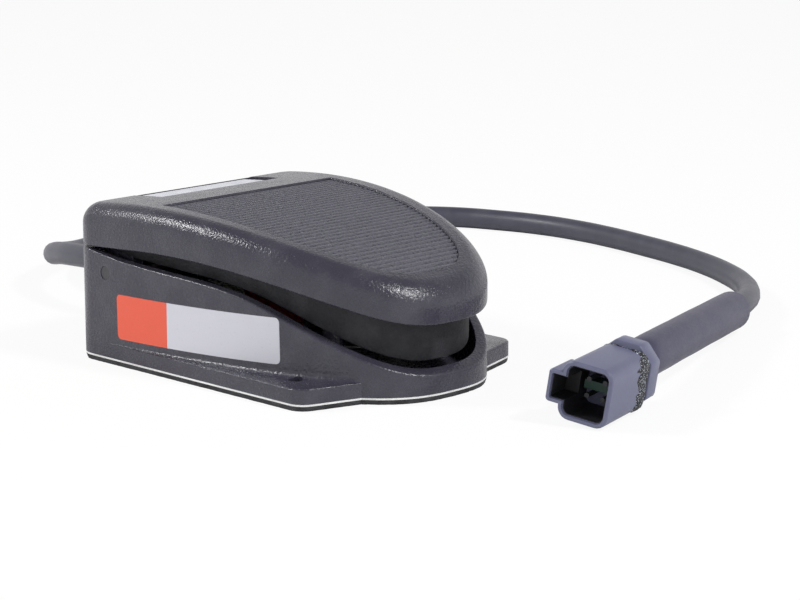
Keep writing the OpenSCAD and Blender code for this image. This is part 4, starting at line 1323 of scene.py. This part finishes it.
@dataclass
class Treadle:
    """Treadle casting with its ribbed tread, skirt, lugs and name plate.

    Attributes:
        form: Outline shared with the base.
        palette: Materials of the scene.
        edge: Radius of the rounded top edge.
        cap_t: Thickness of the top.
        skirt: Insets of the skirt's outer and inner face.
        margin: Width of the border at the tread's sides.
        toe_margin: Width of the border at the toe.
        rear_y: Rear edge of the tread.
        depth: Depth of the tread's floor.
        pitch: Pitch of the ribs.
        rib: Height of the ribs.
        rib_shape: Pairs of a share of the pitch and of the rib's height there.
        blunt: How blunt the tread's toe is, 2 for an ellipse and more for blunter.
        skirt_fall: How far the skirt's lower edge falls away around the toe.
        skirt_gap: Gap between the skirt and the line of the rim.
        screw_y: Place of the adjusting screw.
        lug: Distance from the middle, radius and thickness of a hinge lug.
        lug_bore: Radius of its bore.
        leg_r: Radius of a stop leg.
        pocket_y: Place of the plate's pocket.
        pocket: Width and length of the pocket.
        pocket_depth: Depth of the pocket.
        plate: Width and length of the name plate.
        plate_low: How far the plate's face lies below the top.
    """

    form: Form
    palette: Palette
    edge: float = 6.5
    cap_t: float = 4.5
    skirt: tuple[float, float] = (6.0, 9.0)
    margin: float = 10.8
    toe_margin: float = 9.8
    rear_y: float = 31.0
    depth: float = 1.3
    pitch: float = 2.25
    rib: float = 0.75
    rib_shape: Sequence[tuple[float, float]] = (
        (0.0, 0.0), (0.36, 0.0), (0.46, 0.55), (0.53, 0.92),
        (0.62, 1.0), (0.78, 1.0), (0.87, 0.92), (0.94, 0.55),
    )
    blunt: float = 2.9
    skirt_fall: float = 1.9
    skirt_gap: float = 0.35
    screw_y: float = 22.5
    lug: tuple[float, float, float] = (40.9, 7, 4.8)
    lug_bore: float = 2.46
    leg_r: float = 3.5
    pocket_y: float = 53.2
    pocket: tuple[float, float] = (54, 15.8)
    pocket_depth: float = 1.3
    plate: tuple[float, float] = (47, 13.2)
    plate_low: float = 0.6

    def cap(self) -> Solid:
        """The crowned cap with its rounded edges.

        Returns:
            The solid cap, down to the lip.
        """
        form, lip = self.form, 0.7
        rings = [form.ring(9.5, form.lip)]
        for a in arc(4):
            rise = lip * (1 - math.cos(a))
            rings.append(form.ring(lip * (1 - math.sin(a)), lambda y: form.lip(y) + rise))
        for a in arc(18):
            drop = self.edge * (1 - math.sin(a))
            rings.append(form.ring(self.edge * (1 - math.cos(a)), lambda y: form.top(y) - drop))
        return Solid.loft(rings, mirrored=True)

    def hollow(self) -> Solid:
        """The space under the cap.

        Returns:
            The solid to cut away.
        """
        form = self.form
        rings = [form.ring(9, lambda y: 2.0)]
        rings.append(form.ring(9, lambda y: form.top(y) - self.cap_t - 1.5))
        rings.append(form.ring(10.5, lambda y: form.top(y) - self.cap_t))
        return Solid.loft(rings, mirrored=True)

    def tread_half(self, grow: float) -> Outline:
        """The right half of the tread's outline, grown by an amount.

        Args:
            grow: The amount.

        Returns:
            Points from the tip of the toe to the rear edge.
        """
        form, rear = self.form, self.rear_y + grow
        reach, side = form.toe_reach - self.toe_margin + grow, form.half_w - self.margin + grow
        least = math.asin((form.straight_y - rear) / reach)
        points = []
        for i in range(101):
            turn = math.pi / 2 + (least - math.pi / 2) * i / 100
            across = side * max(math.cos(turn), 0) ** (2 / self.blunt)
            points.append((across, form.straight_y - reach * math.sin(turn)))
        return points

    def tread_ring(self, grow: float, rise: float) -> list[Point]:
        """A ring of the tread's outline at a level above the crowned top."""
        return both([(x, y, self.form.top(y) + rise) for x, y in self.tread_half(grow)])

    def recess(self) -> Solid:
        """The cut for the tread, flared at the top.

        Returns:
            The solid to cut away.
        """
        flare = 0.6
        rings = [self.tread_ring(0, -2.4), self.tread_ring(0, -flare)]
        for a in arc(5)[1:-1]:
            rings.append(self.tread_ring(flare * (1 - math.cos(a)), flare * (math.sin(a) - 1)))
        rings.append(self.tread_ring(flare * 0.7, 1.5))
        return Solid.loft(rings, mirrored=True)

    def half_across(self, y: float) -> float:
        """Half of the tread's width at a place along it.

        Args:
            y: Place along the base.

        Returns:
            Half of the width.
        """
        form = self.form
        reach, side = form.toe_reach - self.toe_margin, form.half_w - self.margin
        share = min(max((form.straight_y - y) / reach, 0), 1)
        return side * max(1 - share**2, 0) ** (1 / self.blunt)

    def ribs(self) -> Solid:
        """The ribbed floor of the tread.

        Returns:
            A slab with a rib every pitch, as wide as the recess.
        """
        front = self.form.straight_y - self.form.toe_reach + self.toe_margin
        stations, y, count = [], self.rear_y + 0.2, 0
        while y > front + 0.1:
            whole, phase = divmod(count, len(self.rib_shape))
            step, rise = self.rib_shape[phase]
            y = self.rear_y + 0.2 - (whole + step) * self.pitch
            stations.append((max(y, front + 0.05), rise))
            count += 1
        rings = []
        for y, rise in stations:
            x = self.half_across(y) + 0.25
            z = self.form.top(y) - self.depth + rise * self.rib
            low = self.form.top(y) - 2.9
            line = [x * (2 * k / 24 - 1) for k in range(25)]
            rings.append([(v, y, low) for v in line[::-1]] + [(v, y, z) for v in line])
        return Solid.loft(rings)

    def skirt_band(self) -> Solid:
        """The skirt that drops inside the base, open at the heel.

        Returns:
            The skirt as one bent strip.
        """
        form = self.form
        last = form.steps + 10
        outer, inner = form.half(self.skirt[0])[:last], form.half(self.skirt[1])[:last]
        sections = []
        for o, i in zip(outer, inner):
            section = []
            low = form.rim(o[1]) - self.skirt_fall * form.toeward(o[1]) + self.skirt_gap
            for share, level in ((0, 0.5), (0.04, 0.22), (0.13, 0.05), (0.25, 0.0), (1, 0.0)):
                x, y = (p + (q - p) * share for p, q in zip(o, i))
                section.append((x, y, low + level))
            section.append((*i, form.lip(i[1]) + 0.5))
            section.append((*o, form.lip(o[1]) + 0.5))
            sections.append(section)
        flipped = [[(-x, y, z) for x, y, z in section] for section in sections[1:]]
        return Solid.loft(sections[::-1] + flipped)

    def hangers(self) -> Solid:
        """The bosses and legs under the cap, and the hinge lugs.

        Returns:
            All of them, joined.
        """
        form, top = self.form, self.form.top
        spring_y, stop_y = form.spring_y, form.stop[1]
        hinge_y, hinge_z = form.hinge
        lug_x, lug_r, lug_t = self.lug
        made = Solid.post((0, self.screw_y, 40), 6, top(self.screw_y) - 44)
        made += Solid.post((0, spring_y, 36), 8, top(spring_y) - 40.2)
        made += Solid.post((0, spring_y, 31), 4.4, 8)
        turns = [math.pi * i / 16 for i in range(17)]
        face = [(hinge_y + lug_r * math.cos(a), hinge_z - lug_r * math.sin(a)) for a in turns]
        face += [(y, top(y) - 4) for y in (hinge_y - lug_r, hinge_y + lug_r)]
        for side in (-1, 1):
            foot = (side * form.stop[0], stop_y, 13.3)
            made += Solid.post(foot, self.leg_r, top(stop_y) - 17.5)
            x = side * lug_x
            lug = Solid.bar(face, x - lug_t / 2, x + lug_t / 2, 0.4)
            made += lug - Solid.post((x - 4, *form.hinge), self.lug_bore, 8, turn="X")
        return made

    def at_pocket(self) -> Matrix:
        """Place of the plate pocket on the crowned top.

        Returns:
            The matrix from the pocket to the shared frame.
        """
        y = self.pocket_y
        tilt = -math.asin((y - self.form.crest_y) / self.form.crown)
        return Matrix.Translation((0, y, self.form.top(y))) @ Matrix.Rotation(tilt, 4, "X")

    def flat(
        self, size: tuple[float, float], low: float, high: float, soft: float, flare: float
    ) -> Solid:
        """A flat plate or pocket with rounded corners.

        Args:
            size: Width across and length along.
            low: Level of its underside.
            high: Level of its top.
            soft: Radius of its corners.
            flare: How far its top edge is drawn out, or in where negative.

        Returns:
            The plate about the pocket's place.
        """
        w, l = size
        thick = abs(flare)
        levels = ((low, 0), (high - thick, 0), (high - thick * 0.3, flare * 0.3), (high, flare))
        rings = []
        for z, g in levels:
            rings.append([(x, y, z) for x, y in rounded(w + 2 * g, l + 2 * g, soft)])
        return Solid.loft(rings).moved(self.at_pocket())

    def build(self) -> None:
        """Builds the treadle casting and its name plate."""
        made = self.cap() - self.hollow()
        made = made - self.recess()
        made = made - self.flat(self.pocket, -self.pocket_depth, 0.25, 0.5, 0.5)
        made = made + self.hangers()
        # The skirt piece takes the near-black cast paint as painted shade.
        plan = (
            ("shade_painted_skirt", self.skirt_band(), [], Finish.CAST_PAINT, Special.SHADED_SKIRT),
            ("ribbed_tread", self.ribs(), [], Finish.CAST_PAINT, Special.TREAD),
            ("cast_treadle", made, ["treadle_casting"], Finish.CAST_PAINT, None),
        )
        for name, solid, nodes, finish, special in plan:
            self.palette.dress(solid.piece(name, "treadle", nodes), finish, special)
        plate = self.flat(self.plate, -self.pocket_depth, -self.plate_low, 0.8, -0.12)
        self.palette.dress(plate.piece("satin_plate", "treadle", ["name_plate"]), Finish.PLATE)


ROUTE = (
    (0, 0, 20), (0, 20, 20), (0, 41, 20), (3, 61, 18.5), (9, 80, 16), (19, 98, 12), (34, 113, 8),
    (51, 124, 5), (70, 131.5, 4.3), (90, 134.5, 4.3), (111, 133.5, 4.3), (131, 129.5, 4.3),
    (150, 122.5, 4.3), (168, 112.5, 4.3), (184, 100.5, 4.3), (199, 86.5, 4.3), (212, 70.5, 4.3),
    (220, 51.5, 4.3), (225, 31.5, 4.3), (226, 11.5, 4.3), (224, -8.5, 4.3), (220, -28.5, 4.3),
    (215, -48.5, 4.3), (208, -68.5, 4.3), (199, -86.5, 4.3), (187, -103.5, 4.5), (172, -117.5, 5.2),
    (155, -128.5, 6.5), (136, -137, 7.5), (118, -145, 8.5), (99, -153, 10), (80, -160.5, 11.7),
    (62, -168.2, 13.2), (52, -172.5, 13.7), (43, -175, 13.7),
)


@dataclass
class CordSet:
    """Free cord with its strain relief, shrink sleeve and connector.

    Attributes:
        palette: Materials of the scene.
        heel_y: Place of the heel face.
        diameter: Diameter of the cord.
        length: Length of the cord, not used.
        sleeve_r: Radius of the shrink sleeve.
        shell: Width, height and corner radius of the connector's shell.
        cap: Width, height and chamfer of its end cap.
    """

    palette: Palette
    heel_y: float = 65.5
    diameter: float = 8.6
    length: float = 675.4
    sleeve_r: float = 6.85
    shell: tuple[float, float, float] = (17, 19, 4)
    cap: tuple[float, float, float] = (18.4, 21.2, 5)

    def route(self) -> list[Vector]:
        """The cord's route in the shared frame, in millimetres."""
        return [Vector((x, y + self.heel_y, z)) for x, y, z in ROUTE]

    def cord(self) -> bpy.types.Object:
        """Builds the cord as one smooth curve.

        Returns:
            The curve.
        """
        data = bpy.data.curves.new("cord_line", "CURVE")
        data.dimensions = "3D"
        data.bevel_depth = 1.0
        data.bevel_resolution = 6
        data.resolution_u = 8
        data.use_fill_caps = True
        line = data.splines.new("BEZIER")
        line.bezier_points.add(len(ROUTE) - 1)
        for knot, place in zip(line.bezier_points, self.route()):
            knot.co = place * MM
            knot.radius = self.diameter / 2 * MM
            knot.handle_left_type = knot.handle_right_type = "AUTO"
        made = bpy.data.objects.new("free_cord", data)
        bpy.context.scene.collection.objects.link(made)
        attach(made, "base")
        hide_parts("cord")
        self.palette.dress(made, Finish.CORD)
        logging.info("%s: %d knots", made.name, len(ROUTE))
        return made

    def relief(self) -> bpy.types.Object:
        """Builds the strain relief: a lip, a neck, a flange and a grooved taper.

        Returns:
            The piece.
        """
        bore = self.diameter / 2 + 0.1
        line = [(bore, -5.3), (7.3, -5.3), (7.6, -5.0), (7.6, -3.4), (7.4, -3.3), (6.3, -3.3)]
        line += [(6.3, 0.1), (8.3, 0.1), (8.5, 0.3), (8.5, 2.2), (8.1, 2.6), (6.5, 2.8)]
        groove = ((0, 0), (0.15, 0.2), (0.9, 0.35), (0.9, 1.0), (0.15, 1.15), (0.1, 1.4))
        for k in range(6):
            y, r = 4.2 + 3.0 * k, 6.35 - 0.09 * k
            line += [(r - deep, y + along) for deep, along in groove]
        line += [(5.75, 23.4), (5.4, 24), (bore, 24)]
        turns, z = angles(ROUND), ROUTE[0][2]
        rings = [[(r * math.cos(a), y, z + r * math.sin(a)) for a in turns] for r, y in line]
        made = Solid.loft(rings, hoop=True).moved(Matrix.Translation((0, self.heel_y, 0)))
        piece = made.piece("grooved_relief", "base", ["strain_relief"])
        self.palette.dress(piece, Finish.BOOT)
        return piece

    def sleeve(self) -> bpy.types.Object:
        """Builds the shrink sleeve, which runs over the cord's end and the spout.

        Returns:
            The piece.
        """
        end = self.route()[-1] + (self.route()[-1] - self.route()[-2]).normalized() * 9.8
        line = smooth_line([*self.route()[28::3], end], 16)

        def radius(share: float, turn: float) -> float:
            """Radius of the sleeve with faint lumps."""
            lump = noise.noise(Vector((math.cos(turn), math.sin(turn), share * 9)))
            return self.sleeve_r + 0.1 * lump

        piece = tube(line, radius).piece("smooth_sleeve", "base", ["shrink_sleeve"])
        self.palette.dress(piece, Finish.SLEEVE)
        return piece

    def frame(self) -> Matrix:
        """Place of the connector, laid out along X from its mouth.

        Returns:
            The matrix from the connector to the shared frame.
        """
        last, before = self.route()[-1], self.route()[-2]
        yaw = math.atan2(before.y - last.y, before.x - last.x)
        turn = Matrix.Rotation(yaw, 4, "Z") @ Matrix.Rotation(math.radians(9), 4, "X")
        return Matrix.Translation(last) @ turn @ Matrix.Translation((-46.6, 0, -3))

    def section(self, w: float, h: float, r: float, x: Sequence[tuple[float, float]]) -> Solid:
        """A rounded section along the connector.

        Args:
            w: Full width.
            h: Full height.
            r: Radius of its corners.
            x: Pairs of a place along the connector and how far the section is drawn in there.

        Returns:
            The solid.
        """
        rings = []
        for at, g in x:
            face = rounded(w - 2 * g, h - 2 * g, max(r - g, 0.2))
            rings.append([(at, y, z) for y, z in face])
        return Solid.loft(rings)

    def body(self) -> Solid:
        """The shell with its hood and open mouth.

        Returns:
            The hollow shell.
        """
        w, h, r = self.shell
        front = [(0.7 * (1 - math.sin(a)), 0.7 * (1 - math.cos(a))) for a in arc(5)[::-1]]
        outer = self.section(w, h, r, front + [(27.3, 0)])
        hood = self.section(8.5, 10.6, 1.3, front + [(13.9, 0), (14.5, 0.6)])
        hood.moved(Matrix.Translation((0, 8.75, 0)))
        mouth = self.section(w - 3.2, h - 3.2, r - 1.6, [(-1, -0.3), (0.1, -0.3), (0.6, 0), (17, 0)])
        slot = self.section(11.6, 7.8, 0.5, [(-1, -0.2), (0.1, -0.2), (0.5, 0), (11, 0)])
        slot.moved(Matrix.Translation((0, 5.8, 0)))
        return (outer | hood) - mouth - slot

    def bead(self) -> Solid:
        """The lumpy bead of sealant between the shell and the cap.

        Returns:
            The bead.
        """
        w, h, r = self.shell
        outline = resampled(rounded(w, h, r) + rounded(w, h, r)[:1], 161)[:-1]
        rings = []
        for i in range(13):
            ring = []
            for y, z in outline:
                side = max(0.0, -y / (w / 2)) ** 2
                width = 1.3 + 7.5 * side * (0.8 + 0.5 * noise.noise(Vector((y, z * 0.7, 3))))
                x = 27.6 - width * (1 - i / 12)
                lump = noise.noise(Vector((x, y, z)) * 1.3)
                proud = (0.1 + 0.45 * side) * math.sin(math.pi * i / 12) ** 0.5 + 0.16 * lump
                grow = 1 + (proud - 0.05) / 9
                ring.append((x, y * grow, z * grow))
            rings.append(ring)
        return Solid.loft(rings)

    def end_cap(self) -> Solid:
        """The octagonal end cap with its spout.

        Returns:
            The cap.
        """
        w, h, c = self.cap
        far, near = 0.14, 0.12 * 0.5**1.4 + 0.02
        line = ((27.6, 0.5), (27.75, 0.15), (28.1, 0), (33.9, 0), (34.3, 0.12), (36.3, 1.2))
        rings = []
        for x, g in (*line, (36.6, 1.6)):
            a, b = w / 2 - g, h / 2 - g
            corners = [(a, b - c), (a - c, b), (c - a, b), (-a, b - c)]
            corners += [(-y, -z) for y, z in corners]
            ring = []
            for before, here, after in zip(corners[-1:] + corners, corners, corners[1:] + corners[:1]):
                beside = ((before, far), (before, near), (here, 0), (after, near), (after, far))
                for to, share in beside:
                    blunt = 1 if share else 0.985
                    ring.append((x, *((p + (q - p) * share) * blunt for p, q in zip(here, to))))
            rings.append(ring)
        block = Solid.loft(rings).moved(Matrix.Translation((0, 0, 0.6)))
        return block + Solid.post((36, 0, 3), 5.4, 10.4, turn="X")

    def shade_skin(self) -> Solid:
        """Painted shade for the inside of the mouth and of the latch slot.

        Returns:
            A thin dark skin just inside the shell, standing in for shade.
        """
        w, h, r = self.shell
        aside = Matrix.Translation((0, 5.8, 0))
        skin = self.section(w - 3.3, h - 3.3, r - 1.65, [(0.9, 0), (16.9, 0)])
        skin = skin | self.section(11.5, 7.7, 0.5, [(0.9, 0), (10.9, 0)]).moved(aside)
        inner = self.section(w - 3.7, h - 3.7, r - 1.85, [(-1, 0), (17.5, 0)])
        return skin - inner - self.section(11.1, 7.3, 0.4, [(-1, 0), (10.7, 0)]).moved(aside)

    def connector(self) -> list[bpy.types.Object]:
        """Builds the connector's pieces.

        Returns:
            The pieces.
        """
        plan = (
            ("moulded_shell", self.body(), "connector_shell", Finish.CONNECTOR),
            ("lumpy_bead", self.bead(), "sealant_bead", Finish.SEALANT),
            ("moulded_cap", self.end_cap(), "connector_end_cap", Finish.CONNECTOR),
        )
        made = []
        for name, solid, node, finish in plan:
            piece = solid.moved(self.frame()).piece(name, "base", [node])
            self.palette.dress(piece, finish)
            made.append(piece)
        # A near-black skin inside the mouth and slot stands in for the shade there.
        made.append(self.shade_skin().moved(self.frame()).piece("mouth_shade_skin", "base"))
        self.palette.dress(made[-1], Finish.CONNECTOR, Special.MOUTH_SHADE)
        return made

    def build(self) -> None:
        """Builds the cord and what it carries."""
        cord = self.cord()
        carried = [self.relief(), self.sleeve(), *self.connector()]
        carried += [frame["nodes"][name] for name in ("connector_pins", "connector_wedge")]
        start = self.route()[0] * MM
        self.diameter * MM


@dataclass
class Works:
    """Moving and hidden parts that need smoother forms than their solids.

    Attributes:
        palette: Materials of the scene.
        turns: Curls of the return spring.
        wire: Diameter of its wire.
        mean: Its mean diameter.
        height: Its installed height.
        foot: Place of its foot.
        close: Rise of the close curl at each end.
        lead_r: Radius of a lead.
    """

    palette: Palette
    turns: float = 7.5
    wire: float = 1.4
    mean: float = 11.5
    height: float = 28
    foot: Point = (0, -20.5, 8)
    close: float = 2.1
    lead_r: float = 0.9

    def rise(self, turn: float) -> float:
        """Height of the wire's middle after some turns, with close curls at both ends.

        Args:
            turn: How many turns from the foot.

        Returns:
            The height above the middle of the first wire.
        """
        free = self.height - self.wire
        if turn < 1:
            return self.close * turn
        if turn > self.turns - 1:
            return free - self.close * (self.turns - turn)
        return self.close + (free - 2 * self.close) / (self.turns - 2) * (turn - 1)

    def spring(self) -> None:
        """Builds the return spring at its installed height."""
        x, y, z = self.foot
        line = []
        for i in range(int(self.turns * 32) + 1):
            a, r = 2 * math.pi * i / 32, self.mean / 2
            level = z + self.wire / 2 + self.rise(i / 32)
            line.append(Vector((x + math.cos(a) * r, y + math.sin(a) * r, level)))
        coil = tube(line, lambda share, turn: self.wire / 2, 12)
        piece = coil.piece("coil_spring", "base", ["return_spring"])
        self.palette.dress(piece, Finish.STEEL)
        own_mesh(piece)

    def lead(
        self, name: str, ends: tuple[Point, Point], ways: tuple[Point, Point], finish: Finish
    ) -> None:
        """Builds one lead as a smooth tube.

        Args:
            name: CAD node of the lead.
            ends: Where it starts and ends.
            ways: Directions in which it leaves and enters.
            finish: Colour of its insulation.
        """
        start, end = (Vector(place) for place in ends)
        first, last = start + Vector(ways[0]), end - Vector(ways[1])
        line = []
        for i in range(25):
            t = i / 24
            u = 1 - t
            line.append(start * u**3 + first * 3 * t * u**2 + last * 3 * t**2 * u + end * t**3)
        wire = tube(line, lambda share, turn: self.lead_r, 14)
        self.palette.dress(wire.piece(name + "_wire", "base", [name]), finish)

    def build(self) -> None:
        """Builds the spring and the four leads."""
        self.spring()
        back, start_y, entry_y = (0, -4, 0), 50.55, 41.45
        blades = [(0, entry_y, z) for z in (15.15, 20.15, 25.15)]
        cores = [(1.5, start_y, 18.5), (-1.5, start_y, 21.5), (1.5, start_y, 21.5)]
        names = ("lead_common", "lead_open", "lead_closed")
        colours = (Finish.LEAD_BLACK, Finish.LEAD_WHITE, Finish.LEAD_RED)
        for name, core, blade, colour in zip(names, cores, blades, colours):
            self.lead(name, (core, blade), (back, back), colour)
        ground = ((-1.5, start_y, 18.5), (-14.85, 39.5, 10.3))
        self.lead("lead_ground", ground, (back, (-8, 0, 0)), Finish.LEAD_GREEN)


def main() -> None:
    """Builds the scene from the camera to the last piece."""
    logging.basicConfig(level=logging.INFO, format="%(message)s")
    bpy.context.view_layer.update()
    studio = Studio()
    studio.build()
    palette = Palette(COATS)
    palette.dress_nodes(frame["nodes"], frame["record"])
    CordSet(palette).build()
    form = Form()
    Base(form, palette).build()
    Treadle(form, palette).build()
    Works(palette).build()


if __name__ == "__main__":
    main()
